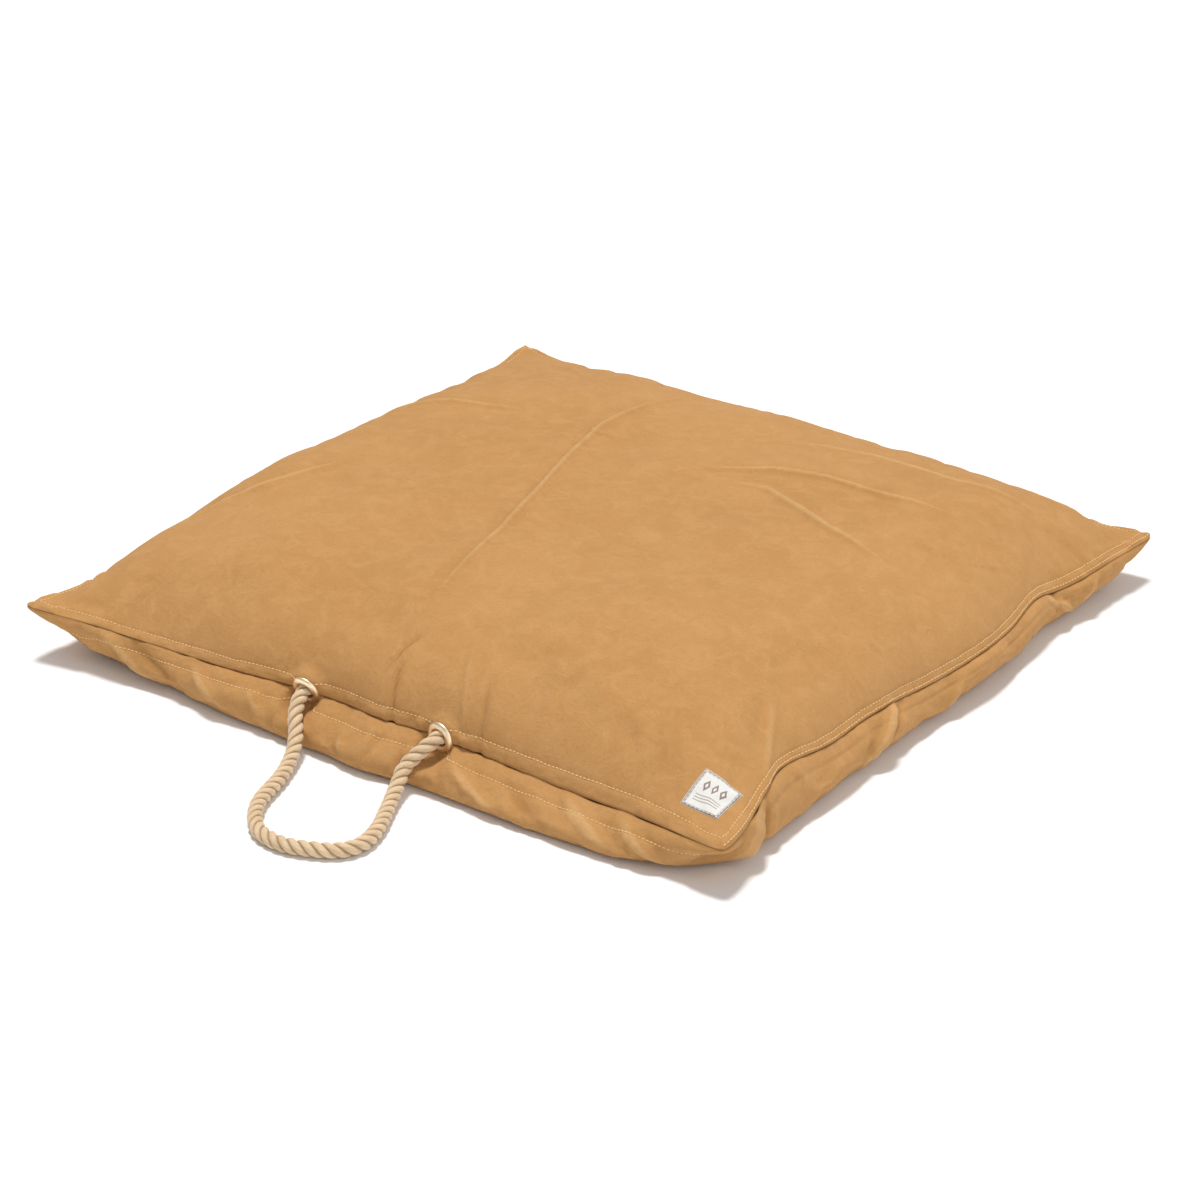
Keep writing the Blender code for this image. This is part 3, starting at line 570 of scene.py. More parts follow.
TOP_CREASES = (
    # path on the plan, width, height
    (
        (
            *((0.005, -0.335), (-0.005, -0.298), (-0.019, -0.230), (-0.037, -0.153)),
            *((-0.086, 0.007), (-0.130, 0.168), (-0.127, 0.247), (-0.115, 0.345)),
        ),
        0.0045,
        0.0036,
    ),
    (
        ((0.06, -0.36), (-0.005, -0.20), (-0.06, -0.06), (-0.11, 0.10), (-0.14, 0.24), (-0.12, 0.39)),
        0.034,
        0.0022,
    ),
    (((-0.012, -0.306), (0.000, -0.296), (0.013, -0.303), (0.028, -0.300)), 0.0025, 0.0016),
    (((-0.165, 0.148), (-0.126, 0.150), (-0.085, 0.153)), 0.0035, 0.0015),
    (((0.010, -0.418), (0.013, -0.402), (0.014, -0.392), (0.024, -0.368)), 0.0032, -0.0034),
    (((0.036, -0.440), (0.031, -0.430), (0.024, -0.412), (0.020, -0.395)), 0.0036, -0.0030),
    (((0.126, -0.436), (0.115, -0.415), (0.100, -0.390), (0.080, -0.350)), 0.0047, 0.0019),
    (((0.145, -0.436), (0.138, -0.415), (0.125, -0.385)), 0.0050, -0.0026),
    (((0.032, 0.127), (0.114, 0.171), (0.178, 0.185), (0.257, 0.189), (0.335, 0.200)), 0.0055, 0.0036),
    (((0.080, 0.115), (0.135, 0.123), (0.251, 0.065), (0.345, 0.045)), 0.0062, 0.0034),
    (((0.060, 0.260), (0.170, 0.300), (0.280, 0.300), (0.400, 0.330)), 0.0070, 0.0030),
    (((0.300, 0.400), (0.370, 0.405), (0.425, 0.420)), 0.0055, 0.0025),
    (((0.384, -0.250), (0.405, -0.290), (0.425, -0.330), (0.436, -0.352)), 0.0060, 0.0024),
    (((0.372, -0.280), (0.390, -0.318), (0.412, -0.350)), 0.0075, -0.0010),
    (((0.384, 0.138), (0.400, 0.165), (0.411, 0.193)), 0.0031, 0.0014),
    (((0.387, -0.087), (0.402, -0.086), (0.414, -0.078)), 0.0031, 0.0014),
    (((-0.385, -0.290), (-0.362, -0.226), (-0.330, -0.170), (-0.300, -0.080)), 0.0059, 0.0026),
    (((-0.410, 0.060), (-0.398, 0.096), (-0.326, 0.134), (-0.220, 0.160)), 0.0059, 0.0024),
    (((-0.405, -0.060), (-0.360, -0.010), (-0.310, 0.020)), 0.0059, 0.0016),
    (((-0.330, 0.400), (-0.300, 0.350), (-0.250, 0.310)), 0.0062, 0.0020),
    (((-0.345, -0.426), (-0.341, -0.414), (-0.325, -0.390)), 0.0035, -0.0020),
    (((0.200, -0.430), (0.205, -0.400), (0.190, -0.350)), 0.0062, 0.0011),
    (((0.290, -0.425), (0.285, -0.395), (0.300, -0.350)), 0.0080, -0.0016),
)
SWELLS = (
    # centre on the plan, radius, height
    ((-0.36, -0.10), 0.15, 0.010),
    ((-0.34, 0.15), 0.13, 0.006),
    ((0.20, 0.37), 0.11, -0.010),
    ((0.40, 0.40), 0.05, 0.006),
)
WALL_CREASES = (
    # side, place along it and distance below the seam at each end, width, height
    ("front", (-0.36, 0.004), (-0.26, 0.060), 0.0070, 0.0050),
    ("front", (-0.32, 0.002), (-0.19, 0.062), 0.0060, -0.0040),
    ("front", (-0.24, 0.004), (-0.15, 0.055), 0.0060, 0.0038),
    ("front", (-0.130, 0.030), (-0.155, 0.008), 0.0040, 0.0022),
    ("front", (-0.020, 0.018), (0.004, 0.060), 0.0050, 0.0030),
    ("front", (0.030, 0.012), (0.018, 0.040), 0.0035, -0.0024),
    ("front", (0.058, 0.014), (0.074, 0.048), 0.0040, -0.0036),
    ("front", (0.120, 0.012), (0.235, 0.058), 0.0060, 0.0044),
    ("front", (0.180, 0.004), (0.300, 0.056), 0.0070, -0.0036),
    ("front", (0.260, 0.003), (0.370, 0.050), 0.0065, 0.0042),
    ("front", (0.330, 0.004), (0.420, 0.055), 0.0070, 0.0046),
    ("right", (-0.385, 0.003), (-0.420, 0.066), 0.0110, 0.0110),
    ("right", (-0.355, 0.004), (-0.385, 0.062), 0.0060, -0.0070),
    ("right", (-0.105, 0.002), (-0.190, 0.062), 0.0055, 0.0068),
    ("right", (-0.085, 0.002), (-0.160, 0.050), 0.0050, -0.0045),
    ("right", (0.020, 0.010), (-0.030, 0.060), 0.0070, 0.0030),
    ("right", (0.240, 0.002), (0.310, 0.045), 0.0050, 0.0050),
    ("right", (0.262, 0.002), (0.250, 0.050), 0.0050, -0.0040),
    ("right", (0.330, 0.004), (0.290, 0.055), 0.0060, 0.0046),
    ("back", (-0.36, 0.004), (-0.28, 0.055), 0.0070, 0.0046),
    ("back", (0.33, 0.004), (0.27, 0.050), 0.0065, -0.0040),
    ("back", (0.38, 0.004), (0.34, 0.055), 0.0065, 0.0046),
    ("back", (-0.10, 0.020), (-0.02, 0.060), 0.0065, 0.0030),
    ("left", (-0.38, 0.004), (-0.33, 0.060), 0.0070, 0.0048),
    ("left", (-0.20, 0.006), (-0.12, 0.060), 0.0065, -0.0038),
    ("left", (0.02, 0.004), (-0.06, 0.060), 0.0070, 0.0044),
    ("left", (0.22, 0.006), (0.30, 0.070), 0.0070, 0.0048),
    ("left", (0.36, 0.004), (0.31, 0.080), 0.0070, -0.0040),
)


def gather(places, seed):
    """An uneven row of small gathers along a seam, from -1 to 1."""
    random = np.random.RandomState(seed)
    total = np.zeros(places.shape)
    for length, weight in ((0.013, 0.35), (0.021, 0.5), (0.034, 0.6), (0.061, 0.7), (0.105, 0.8)):
        for _ in range(2):
            phase, stretch = random.uniform(0, 2 * np.pi), random.uniform(0.85, 1.15)
            total += weight * np.sin(2 * np.pi * places / (length * stretch) + phase)
    return total / 2.6


def swell_noise(x, y, seed):
    """Broad, uneven swells of the stuffing, from -1 to 1."""
    random = np.random.RandomState(seed)
    total = np.zeros(x.shape)
    for _ in range(14):
        angle, phase = random.uniform(0, np.pi), random.uniform(0, 2 * np.pi)
        length = random.uniform(0.07, 0.24)
        run = x * np.cos(angle) + y * np.sin(angle)
        total += np.sin(2 * np.pi * run / length + phase) * length / 0.24
    return total / 4.5


def slot_share(x):
    """Share of the zip's slot that is open at x."""
    return np.clip(1 - (abs(x) - 0.262) / 0.022, 0, 1)


def cubic_rows(fine, coarse):
    """Weights that read a coarse row of values at finer places on one smooth curve."""
    weights = np.zeros((len(fine), len(coarse)))
    spot = np.interp(fine, coarse, np.arange(len(coarse)))
    low = np.clip(np.floor(spot).astype(int), 0, len(coarse) - 2)
    t = spot - low
    shares = (
        -t / 2 + t**2 - t**3 / 2,
        1 - 2.5 * t**2 + 1.5 * t**3,
        t / 2 + 2 * t**2 - 1.5 * t**3,
        (t**3 - t**2) / 2,
    )
    for step, share in zip((-1, 0, 1, 2), shares):
        np.add.at(weights, (np.arange(len(fine)), np.clip(low + step, 0, len(coarse) - 1)), share)
    return weights


DRAPE_STEPS = 62
SETTLE_FRAMES = 18
GROMMET_HOLD = 0.022
LYING_HEIGHT = 0.006


def settle_cloth(side, finish):
    """Let the panel fill under pressure with its seam held, and give back how each point moved."""
    distances = np.array([0.0, 0.006])
    points, u, v, from_seam = panel_shape(side, distances, DRAPE_STEPS)
    drape, row, column = panel_object(side + "_drape", points, finish)
    hold = drape.vertex_groups.new(name="hold")
    last = len(points) - 1
    edge = np.minimum(np.minimum(row, last - row), np.minimum(column, last - column))
    lying = (side == "bottom") & (points[row, column, 2] < LYING_HEIGHT)
    for name in GROMMET_CENTRES:
        away = np.linalg.norm(points[row, column] - np.array(GROMMET_CENTRES[name]), axis=1)
        edge = np.where(away < GROMMET_HOLD, 0, edge)
    held = [int(i) for i in np.nonzero((edge < 1) | lying)[0]]
    hold.add(held, 1.0, "REPLACE")
    cloth = drape.modifiers.new("cloth", "CLOTH")
    settings = cloth.settings
    settings.quality = 5
    settings.mass = 0.3
    settings.tension_stiffness = 30
    settings.compression_stiffness = 30
    settings.shear_stiffness = 12
    settings.bending_stiffness = 0.6
    settings.air_damping = 3
    settings.vertex_group_mass = "hold"
    settings.pin_stiffness = 2
    settings.use_pressure = True
    settings.uniform_pressure_force = 4
    settings.shrink_min = -0.022
    settings.shrink_max = -0.022
    settings.effector_weights.gravity = 0
    cloth.collision_settings.use_collision = False
    cloth.point_cache.frame_start = 1
    cloth.point_cache.frame_end = 22
    for step in range(1, SETTLE_FRAMES + 1):
        scene.frame_set(step)
    settled = drape.evaluated_get(bpy.context.evaluated_depsgraph_get())
    flat = np.empty(len(settled.data.vertices) * 3)
    settled.data.vertices.foreach_get("co", flat)
    moved = np.zeros(points.shape)
    moved[row, column] = flat.reshape(-1, 3) - points[row, column]
    scene.frame_set(1)
    mesh = drape.data
    bpy.data.objects.remove(drape)
    bpy.data.meshes.remove(mesh)
    return moved, unrolled_run(from_seam)


CLOTH_CAP = 0.0045
MOST_SINK = 0.002
ZIP_SLOT_LIFT = 0.0055
ZIP_SLOT_REACH = 0.011
FLOOR_GAP = 0.0003
INSERT_INSET = 0.035
COVER_SLACK = 0.0032
canvas = Finish(
    "waxed_canvas",
    Sheen_Weight=0.10,
    Sheen_Roughness=0.5,
    Sheen_Tint=(0.9, 0.7, 0.45),
    Specular_IOR_Level=0.15,
)
panels = {}
for side in ("top", "bottom"):
    near = np.array(NEAR_ROWS)
    points, u, v, from_seam = panel_shape(side, near, round((CLOTH_REACH[side] - near[-1]) / CLOTH_STEP))
    across = unrolled_run(from_seam)
    normal = outward(points, side)
    x, y, z = points[:, :, 0], points[:, :, 1], points[:, :, 2]
    to_side, to_end = np.meshgrid(from_seam, from_seam)
    depth = np.minimum(to_side, to_end)
    lift = np.zeros(x.shape)
    if side == "top":
        crease_wear_and_shade = np.zeros(x.shape)
        for path, width, height in TOP_CREASES:
            crease = ridge(x, y, path, 0.85 * width, height)
            lift += crease
            if width < 0.01:
                lift += 0.3 * crease
                crease_wear_and_shade += crease
        shoulder = np.clip(depth / 0.05, 0, 1)
        for (east, north), radius, height in SWELLS:
            lift += height * bump_at(np.hypot(x - east, y - north), 0, radius) * shoulder
        lift += 0.0034 * swell_noise(x, y, 5) * shoulder
        # The cover lies on the insert, so it can sink only a little.
        lift = np.where(depth > INSERT_INSET, np.maximum(lift, -COVER_SLACK), lift)
    else:
        off_floor = np.clip((z - 0.004) / 0.022, 0, 1)
        frames = {
            "front": (x, np.where(v < 0, to_end, 1.0)),
            "back": (x, np.where(v > 0, to_end, 1.0)),
            "right": (y, np.where(u > 0, to_side, 1.0)),
            "left": (y, np.where(u < 0, to_side, 1.0)),
        }
        for edge, start, end, width, height in WALL_CREASES:
            lift += ridge(*frames[edge], (start, end), width, height)
        lift = lift * off_floor
        crease_wear_and_shade = lift
    # Signed crease height: the ridges get a lighter wear colour, and the valleys and dents get painted shade.
    wear_and_valley_shade = np.clip(crease_wear_and_shade / 0.003, -1, 1)
    seam_pinch = np.exp(-depth / 0.022) * np.clip(depth / 0.004, 0, 1)
    ends_first = to_end < to_side
    along_seam = np.where(ends_first, x, y)
    lift += 0.0006 * seam_pinch * np.where(ends_first, gather(x, 11), gather(y, 12))
    lift += 0.0009 * np.sin(np.pi * np.clip(depth / STITCH_ROW, 0, 1))
    lift -= 0.0007 * bump_at(depth, STITCH_ROW, 0.0016)
    moved = np.zeros(points.shape)
    coarse, place = settle_cloth(side, canvas)
    weights = cubic_rows(across * place.max() / across.max(), place)
    moved = np.einsum("ri,cj,ijk->rck", weights, weights, coarse)
    size = np.linalg.norm(moved, axis=2)
    moved *= (CLOTH_CAP * np.tanh(size / CLOTH_CAP) / np.maximum(size, 1e-9))[:, :, None]
    outwards = np.sum(moved * normal, axis=2)
    moved += normal * (np.maximum(outwards, -MOST_SINK) - outwards)[:, :, None]
    points = points + moved + normal * lift[:, :, None]
    x, y, z = points[:, :, 0], points[:, :, 1], points[:, :, 2]
    tuck = GROOVE * np.exp(-((depth / SEAM_WIDTH) ** 2))
    tuck_side = np.exp(-((to_side / SEAM_WIDTH) ** 2)) * GROOVE
    tuck_end = np.exp(-((to_end / SEAM_WIDTH) ** 2)) * GROOVE
    x -= np.sign(u) * tuck_side
    y -= np.sign(v) * tuck_end
    sign = 1 if side == "top" else -1
    z += sign * 0.0002 * (tuck / GROOVE)
    z += sign * ZIP_SLOT_LIFT * slot_share(x) * np.exp(-((to_end / ZIP_SLOT_REACH) ** 2)) * (v > 0)
    for name in GROMMET_CENTRES:
        centre, facing = GROMMET_CENTRES[name], GROMMET_NORMALS[name]
        away = np.hypot(x - centre.x, z - centre.z)
        near_it = np.clip((0.026 - away) / 0.010, 0, 1) * (y < centre.y + 0.035)
        near_it = near_it * near_it * (3 - 2 * near_it)
        plane = centre.y - (facing.x * (x - centre.x) + facing.z * (z - centre.z)) / facing.y
        pit = 0.012 * np.clip((0.0098 - away) / 0.001, 0, 1)
        y += (plane + pit - y) * near_it
    if side == "bottom":
        z[:] = np.maximum(z, FLOOR_GAP)
    obj, row, column = panel_object(side + "_canvas_panel", points, canvas)
    mesh = obj.data
    for name, values in (("seam_distance", depth), ("wear_and_valley_shade", wear_and_valley_shade)):
        layer = mesh.attributes.new(name, "FLOAT", "POINT")
        layer.data.foreach_set("value", values[row, column].astype(np.float32))
    corner = np.empty(len(mesh.loops), int)
    mesh.loops.foreach_get("vertex_index", corner)
    unrolled = np.stack([across[column[corner]], across[row[corner]]], axis=1)
    layer = mesh.uv_layers.new(name="cloth")
    layer.data.foreach_set("uv", unrolled.ravel())
    if side == "bottom":
        mesh.flip_normals()
    wall = obj.modifiers.new("canvas", "SOLIDIFY")
    wall.thickness = CANVAS
    wall.offset = -1
    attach(obj, "cushion")
    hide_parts(side + "_panel")
    panels[side] = points

cloth_uv = canvas.node("UVMap", {"uv_map": "cloth"})
warp, weft = canvas.axes(cloth_uv)[:2]
weave = (warp * 2 * math.pi / 0.0011).math("SINE") * (weft * 2 * math.pi / 0.0013).math("SINE")
cloud = canvas.noise(canvas.place(), 5.5, 4, 0.62, 0.6)
blot = canvas.noise(canvas.place(), 38, 5, 0.68, 0.8)
nap = canvas.noise(canvas.stretched(canvas.place(), (1.0, 1.6, 1.0)), 240, 5, 0.75, 0.5)
grain = canvas.noise(canvas.place(), 1300, 2, 0.6)
tone = canvas.blend(cloud.between(0.32, 0.68), (0.450, 0.229, 0.077), (0.484, 0.252, 0.090))
tone = canvas.blend(blot.between(0.38, 0.70) * 0.55, tone, (0.545, 0.300, 0.118))
tone = canvas.blend(nap.between(0.45, 0.75) * 0.50, tone, (0.390, 0.184, 0.053))
tone = canvas.blend(grain.between(0.45, 0.75) * 0.30, tone, (0.585, 0.334, 0.132))
# Wear: crease ridges are lighter where the waxed canvas is rubbed.
ridge_wear = canvas.measure("wear_and_valley_shade").between(0.25, 1.0) * (0.25 + blot * 1.1)
tone = canvas.blend(ridge_wear * 0.38, tone, (0.70, 0.46, 0.22))
# Painted shade: crease valleys and dents are darkened where shade falls in them.
valley = 1 - canvas.measure("wear_and_valley_shade").between(-1.0, -0.25)
tone = canvas.blend(valley * 0.40, tone, (0.33, 0.150, 0.040))
# Painted shade: the canvas is darkened in the narrow gap along the seam, where the two panels meet.
seam_shade = 1 - canvas.measure("seam_distance").between(0.0001, 0.0013)
tone = canvas.blend(seam_shade * 0.30, tone, (0.16, 0.062, 0.018))
canvas.vary(Base_Color=tone, Roughness=0.80 + blot * 0.16)
canvas.relief(weave * 0.00005 + nap * 0.0008 + grain * 0.0003 + blot * 0.0016)

# The topstitching: a lighter, heavier thread in one row on each side of the seam, but for the
# right-hand wall, which has none. The top has a second row there, close to the seam. Each stitch
# is one short lump of thread.
STITCH_PITCH = 0.0050
STITCH_LENGTH = 0.0039
STITCH_RADIUS = 0.00062
SECOND_ROW = 0.0044
GROMMET_COVER = 0.0155

twine = Finish("waxed_thread", Roughness=0.55, Sheen_Weight=0.1)
ply = twine.noise(twine.stretched(twine.place(), (1.0, 1.0, 2.0)), 1500, 2)
twine.vary(Base_Color=twine.blend(ply.between(0.3, 0.7), (0.72, 0.45, 0.17), (0.88, 0.62, 0.30)))
twine.relief(ply * 0.0002)


def stitch_form():
    """One stitch along X: a lump that dives into the cloth at both ends."""
    bm = bmesh.new()
    bmesh.ops.create_uvsphere(bm, u_segments=6, v_segments=5, radius=1)
    for vert in bm.verts:
        x, y, z = vert.co
        vert.co = Vector((z * STITCH_LENGTH / 2, y * STITCH_RADIUS, x * STITCH_RADIUS))
        vert.co.z -= STITCH_RADIUS * 0.9 * (vert.co.x / (STITCH_LENGTH / 2)) ** 2
    bmesh.ops.recalc_face_normals(bm, faces=bm.faces[:])
    mesh = bpy.data.meshes.new("stitch")
    bm.to_mesh(mesh)
    bm.free()
    return mesh


def stitch_along(bm, form, line, normals, closed_to=()):
    """Stitches at an even pitch along a line on the cloth, except inside the closed-off places."""
    run = run_along(line)
    count = int(run[-1] / STITCH_PITCH)
    for number in range(count):
        middle = (number + 0.5) * STITCH_PITCH
        spot = np.array([np.interp(middle, run, line[:, axis]) for axis in range(3)])
        ahead = np.array([np.interp(middle + 0.001, run, line[:, axis]) for axis in range(3)])
        up = Vector([np.interp(middle, run, normals[:, axis]) for axis in range(3)]).normalized()
        if any((Vector(spot) - centre).length < radius for centre, radius in closed_to):
            continue
        forward = Vector(ahead - spot).normalized()
        side = up.cross(forward).normalized()
        turn = Matrix((forward, side, up)).transposed().to_4x4()
        turn.translation = Vector(spot) + up * STITCH_RADIUS * 0.75
        before = len(bm.verts)
        bm.from_mesh(form)
        bm.verts.ensure_lookup_table()
        bmesh.ops.transform(bm, matrix=turn, verts=bm.verts[before:])


stitch = stitch_form()
covered = [(GROMMET_CENTRES[name], GROMMET_COVER) for name in GROMMET_CENTRES]
for side in ("top", "bottom"):
    points = panels[side]
    normal = outward(points, side)
    last = len(points) - 1
    k = NEAR_ROWS.index(STITCH_ROW)
    front = [(k, c) for c in range(k, last - k + 1)]
    back = [(last - k, c) for c in range(last - k, k - 1, -1)]
    left = [(r, k) for r in range(last - k, k - 1, -1)]
    right = [(r, last - k) for r in range(k, last - k + 1)]
    bm = bmesh.new()
    for run in (front, back, left, right) if side == "top" else (front, back, left):
        rows, columns = np.array(run).T
        stitch_along(bm, stitch, points[rows, columns], normal[rows, columns], covered)
    if side == "top":
        k2 = NEAR_ROWS.index(SECOND_ROW)
        rows = np.arange(k2, last - k2)
        columns = np.full(len(rows), last - k2)
        stitch_along(bm, stitch, points[rows, columns], normal[rows, columns], covered)
    thread = add_piece(side + "_stitches", bm, twine)
    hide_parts(side + "_edge_thread", side + "_handle_thread")

# The grommets: two spun brass rings with rolled rims, set through the front seam. A flat washer
# inside the cover grips the canvas from behind.
brass = Finish("lacquered_brass", Metallic=1.0, Roughness=0.24, Coat_Weight=0.25, Coat_Roughness=0.12)
handling = brass.noise(brass.place(), 160, 4, 0.6)
pits = brass.noise(brass.place(), 900, 2, 0.5)
brass.vary(
    Base_Color=brass.blend(handling.between(0.3, 0.7), (0.93, 0.74, 0.47), (0.98, 0.86, 0.64)),
    Roughness=0.28 + handling * 0.22,
)
brass.relief(pits * 0.00006)
RIM_PROFILE = (
    *((0.0090, -0.0050), (0.0090, -0.0004), (0.0092, 0.0012), (0.0099, 0.0025)),
    *((0.0110, 0.0032), (0.0123, 0.0034), (0.0144, 0.0031), (0.0160, 0.0023)),
    *((0.0172, 0.0012), (0.0176, 0.0000), (0.0170, -0.0010), (0.0158, -0.0008)),
    *((0.0120, 0.0002), (0.0102, -0.0002), (0.0098, -0.0012), (0.0098, -0.0050)),
)


def spun_ring(profile, steps=72):
    """A closed profile of (radius, height) spun once round Z."""
    bm = bmesh.new()
    verts = [bm.verts.new((radius, 0, height)) for radius, height in profile]
    edges = [bm.edges.new(pair) for pair in zip(verts, verts[1:] + verts[:1])]
    spin = {"cent": (0, 0, 0), "axis": (0, 0, 1), "angle": 2 * math.pi, "steps": steps}
    bmesh.ops.spin(bm, geom=verts + edges, use_merge=True, **spin)
    bmesh.ops.remove_doubles(bm, verts=bm.verts[:], dist=1e-6)
    bmesh.ops.recalc_face_normals(bm, faces=bm.faces[:])
    if bm.calc_volume(signed=True) < 0:
        bmesh.ops.reverse_faces(bm, faces=bm.faces[:])
    return bm


for name in GROMMET_CENTRES:
    bm = spun_ring(RIM_PROFILE)
    turn = GROMMET_NORMALS[name].to_track_quat("Z", "Y").to_matrix().to_4x4()
    turn.translation = GROMMET_CENTRES[name] + GROMMET_NORMALS[name] * 0.0004
    bmesh.ops.transform(bm, matrix=turn, verts=bm.verts[:])
    ring = add_piece("brass_grommet_" + name, bm, brass)
    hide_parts("grommet_" + name)

# The label: a square of white woven tape, sewn down on the top panel near the right front tip.
# It carries a plain border and a generic woven figure.
LABEL_SIDE = 0.044
LABEL_CENTRE = (0.4115, -0.4085)
LABEL_LIFT = 0.0006

label_cloth = Finish("woven_label", Roughness=0.9, Sheen_Weight=0.15)
label_uv = label_cloth.node("UVMap", {"uv_map": "label"})
lx, ly = [axis - 0.5 for axis in label_cloth.axes(label_uv)[:2]]
across, along = lx.math("ABSOLUTE"), ly.math("ABSOLUTE")
edge = across.math("MAXIMUM", along)
frame_line = edge.between(0.462, 0.470) * (1 - edge.between(0.482, 0.490))
inner_line = edge.between(0.425, 0.430) * (1 - edge.between(0.436, 0.441))
diamond = (lx * 4.5).math("PINGPONG", 0.5) * 0.42 + (ly - 0.13).math("ABSOLUTE")
figure = (1 - diamond.between(0.145, 0.160)) * (1 - across.between(0.34, 0.352))
core = 1 - diamond.between(0.060, 0.075)
figure = figure * (1 - core)
bars = (ly * 14 + 0.25).math("PINGPONG", 0.5).between(0.28, 0.36)
bars = bars * (1 - across.between(0.32, 0.335)) * (1 - (ly + 0.19).math("ABSOLUTE").between(0.10, 0.11))
threads = label_cloth.noise(label_cloth.place(), 1800, 2)
mark = frame_line.math("MAXIMUM", inner_line * 0.8).math("MAXIMUM", figure).math("MAXIMUM", bars * 0.75)
mark = mark * (0.62 + threads * 0.6)
ground = label_cloth.blend(threads.between(0.3, 0.7), (0.70, 0.68, 0.63), (0.84, 0.83, 0.80))
label_cloth.vary(Base_Color=label_cloth.blend(mark * 0.85, ground, (0.13, 0.065, 0.035)))
rib = (label_cloth.axes(label_uv)[1] * 2 * math.pi * 90).math("SINE")
label_cloth.relief(rib * 0.00006 + threads * 0.0001)

LABEL_TURN = math.radians(-4)
top_cloth = bmesh.new()
top_cloth.from_mesh(bpy.data.objects["top_canvas_panel"].data)
top_surface = BVHTree.FromBMesh(top_cloth)
top_cloth.free()


def drop_on_top(x, y):
    """The point of the top panel under a place on the plan, and its normal."""
    place, up = top_surface.ray_cast(Vector((x, y, 0.3)), Vector((0, 0, -1)))[:2]
    return place, up if up.z > 0 else -up


label_middle = drop_on_top(*LABEL_CENTRE)[0]
label_up = Vector()
for east in (-0.02, 0.0, 0.02):
    for north in (-0.02, 0.0, 0.02):
        label_up += drop_on_top(LABEL_CENTRE[0] + east, LABEL_CENTRE[1] + north)[1]
label_up.normalize()
label_along = Vector((math.cos(LABEL_TURN), math.sin(LABEL_TURN), 0))
label_along = (label_along - label_up * label_along.dot(label_up)).normalized()
label_across = label_up.cross(label_along)


def on_label(a, b, lift):
    """A point of the label, a and b from -1 to 1 across it, resting on the canvas under it."""
    flat = label_middle + (label_along * a + label_across * b) * LABEL_SIDE / 2
    place, up = top_surface.ray_cast(flat + label_up * 0.05, -label_up)[:2]
    return place + label_up * lift


LABEL_CELLS = 26
LABEL_THREAD_INSET = 0.91
LABEL_THREAD_POINTS = 24
bm = bmesh.new()
bmesh.ops.create_grid(bm, x_segments=LABEL_CELLS, y_segments=LABEL_CELLS, size=1)
layer = bm.loops.layers.uv.new("label")
for face in bm.faces:
    for loop in face.loops:
        loop[layer].uv = ((loop.vert.co.x + 1) / 2, (loop.vert.co.y + 1) / 2)
for vert in bm.verts:
    a, b = vert.co.x, vert.co.y
    rim = max(abs(a), abs(b))
    vert.co = on_label(a, b, LABEL_LIFT + 0.0004 * (1 - rim**6) - 0.0003 * (rim > 0.999))
label = add_piece("label_cloth", bm, label_cloth)
thickness = label.modifiers.new("tape", "SOLIDIFY")
thickness.thickness = 0.0007
thickness.offset = -1
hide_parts("label")

bm = bmesh.new()
inset = LABEL_THREAD_INSET
corners = ((-inset, -inset), (inset, -inset), (inset, inset), (-inset, inset), (-inset, -inset))
for (a0, b0), (a1, b1) in zip(corners, corners[1:]):
    shares = np.linspace(0, 1, LABEL_THREAD_POINTS)
    line = [on_label(a0 + (a1 - a0) * s, b0 + (b1 - b0) * s, LABEL_LIFT + 0.0003) for s in shares]
    stitch_along(bm, stitch, np.array(line), np.array([label_up] * LABEL_THREAD_POINTS))
label_thread = Finish("label_thread", Roughness=0.6)
shade = label_thread.noise(label_thread.place(), 900, 2)
label_thread.vary(Base_Color=label_thread.blend(shade, (0.42, 0.38, 0.33), (0.66, 0.62, 0.56)))
label_sewing = add_piece("label_stitches", bm, label_thread)
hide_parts("label_thread")

# The insert: a cotton ticking case, sewn round a filling of polyester fibre. It lies inside the
# cover and shows only when the zip is open.
ticking = Finish("cotton_ticking", Roughness=0.9)
tx, ty = ticking.axes(ticking.place())[:2]
tick_weave = (tx * 2 * math.pi / 0.0012).math("SINE") * (ty * 2 * math.pi / 0.0012).math("SINE")
tick_cloud = ticking.noise(ticking.place(), 40, 4)
ticking.vary(Base_Color=ticking.blend(tick_cloud, (0.66, 0.62, 0.54), (0.80, 0.77, 0.69)))
ticking.relief(tick_weave * 0.00006)
wadding = Finish("fibre_wadding", Roughness=1.0, Sheen_Weight=0.4)
curl = wadding.noise(wadding.place(), 120, 6, 0.75, 1.5)
wadding.vary(Base_Color=wadding.blend(curl, (0.74, 0.74, 0.72), (0.92, 0.92, 0.90)))
wadding.relief(curl * 0.003)
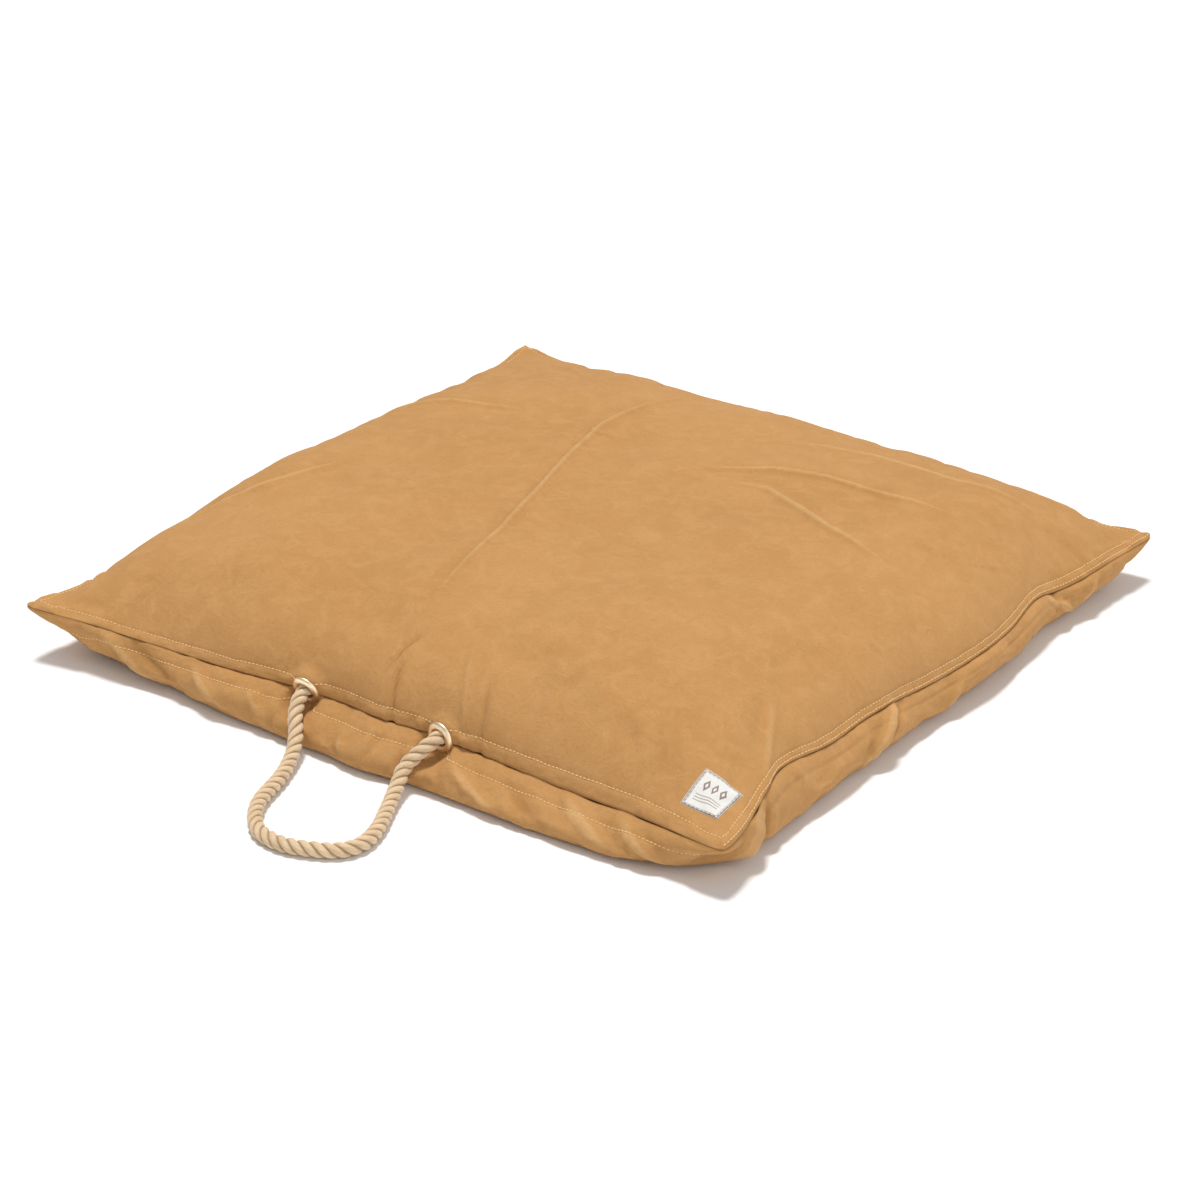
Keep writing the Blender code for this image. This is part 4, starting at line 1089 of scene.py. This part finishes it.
knot_cotton = Finish("knot_cotton", Roughness=0.92, Sheen_Weight=0.25)
lay_lines = knot_cotton.node(
    "TexWave",
    {"wave_type": "BANDS", "bands_direction": "DIAGONAL"},
    {"Vector": knot_cotton.place(), "Scale": 30, "Distortion": 3.0},
    "Fac",
)
knot_fibre = knot_cotton.noise(knot_cotton.place(), 700, 4, 0.7)
knot_tone = knot_cotton.blend(lay_lines, (0.45, 0.30, 0.16), (0.72, 0.56, 0.36))
knot_cotton.vary(Base_Color=knot_cotton.blend(knot_fibre * 0.4, knot_tone, (0.84, 0.70, 0.50)))
knot_cotton.relief(lay_lines * 0.0012 + knot_fibre * 0.0004)

# The zip: a coil zip in the back seam, on two woven tapes, with a brass slider and pull tab.
tape = Finish("zip_tape", Roughness=0.85)
tape_x, _, tape_z = tape.axes(tape.place())
herring = (tape_x * 2 * math.pi / 0.0016 + (tape_z * 400).math("PINGPONG", 1.0) * 6).math("SINE")
tape_cloud = tape.noise(tape.place(), 90, 3)
tape.vary(Base_Color=tape.blend(tape_cloud, (0.36, 0.19, 0.07), (0.46, 0.26, 0.11)))
tape.relief(herring * 0.00008)
coil = Finish("zip_coil", Roughness=0.35)
coil_x = coil.axes(coil.place())[0]
teeth = (coil_x * 2 * math.pi / 0.0015).math("SINE") * 0.5 + 0.5
coil.vary(Base_Color=coil.blend(teeth, (0.10, 0.05, 0.02), (0.42, 0.25, 0.11)))
coil.relief(teeth * 0.0006)
carried = {
    ticking: ("insert_top_panel", "insert_bottom_panel"),
    wadding: ("fibre_filling",),
    knot_cotton: ("stopper_knot_left", "stopper_knot_right"),
    tape: ("zip_tape_upper", "zip_tape_lower"),
    coil: ("zip_coil_upper", "zip_coil_lower"),
    brass: (
        *("grommet_washer_left", "grommet_washer_right", "zip_slider", "zip_pull_tab"),
        *("zip_top_stop", "zip_bottom_stop"),
    ),
}
for finish, names in carried.items():
    for name in names:
        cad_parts[name].data.materials.clear()
        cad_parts[name].data.materials.append(finish.material)
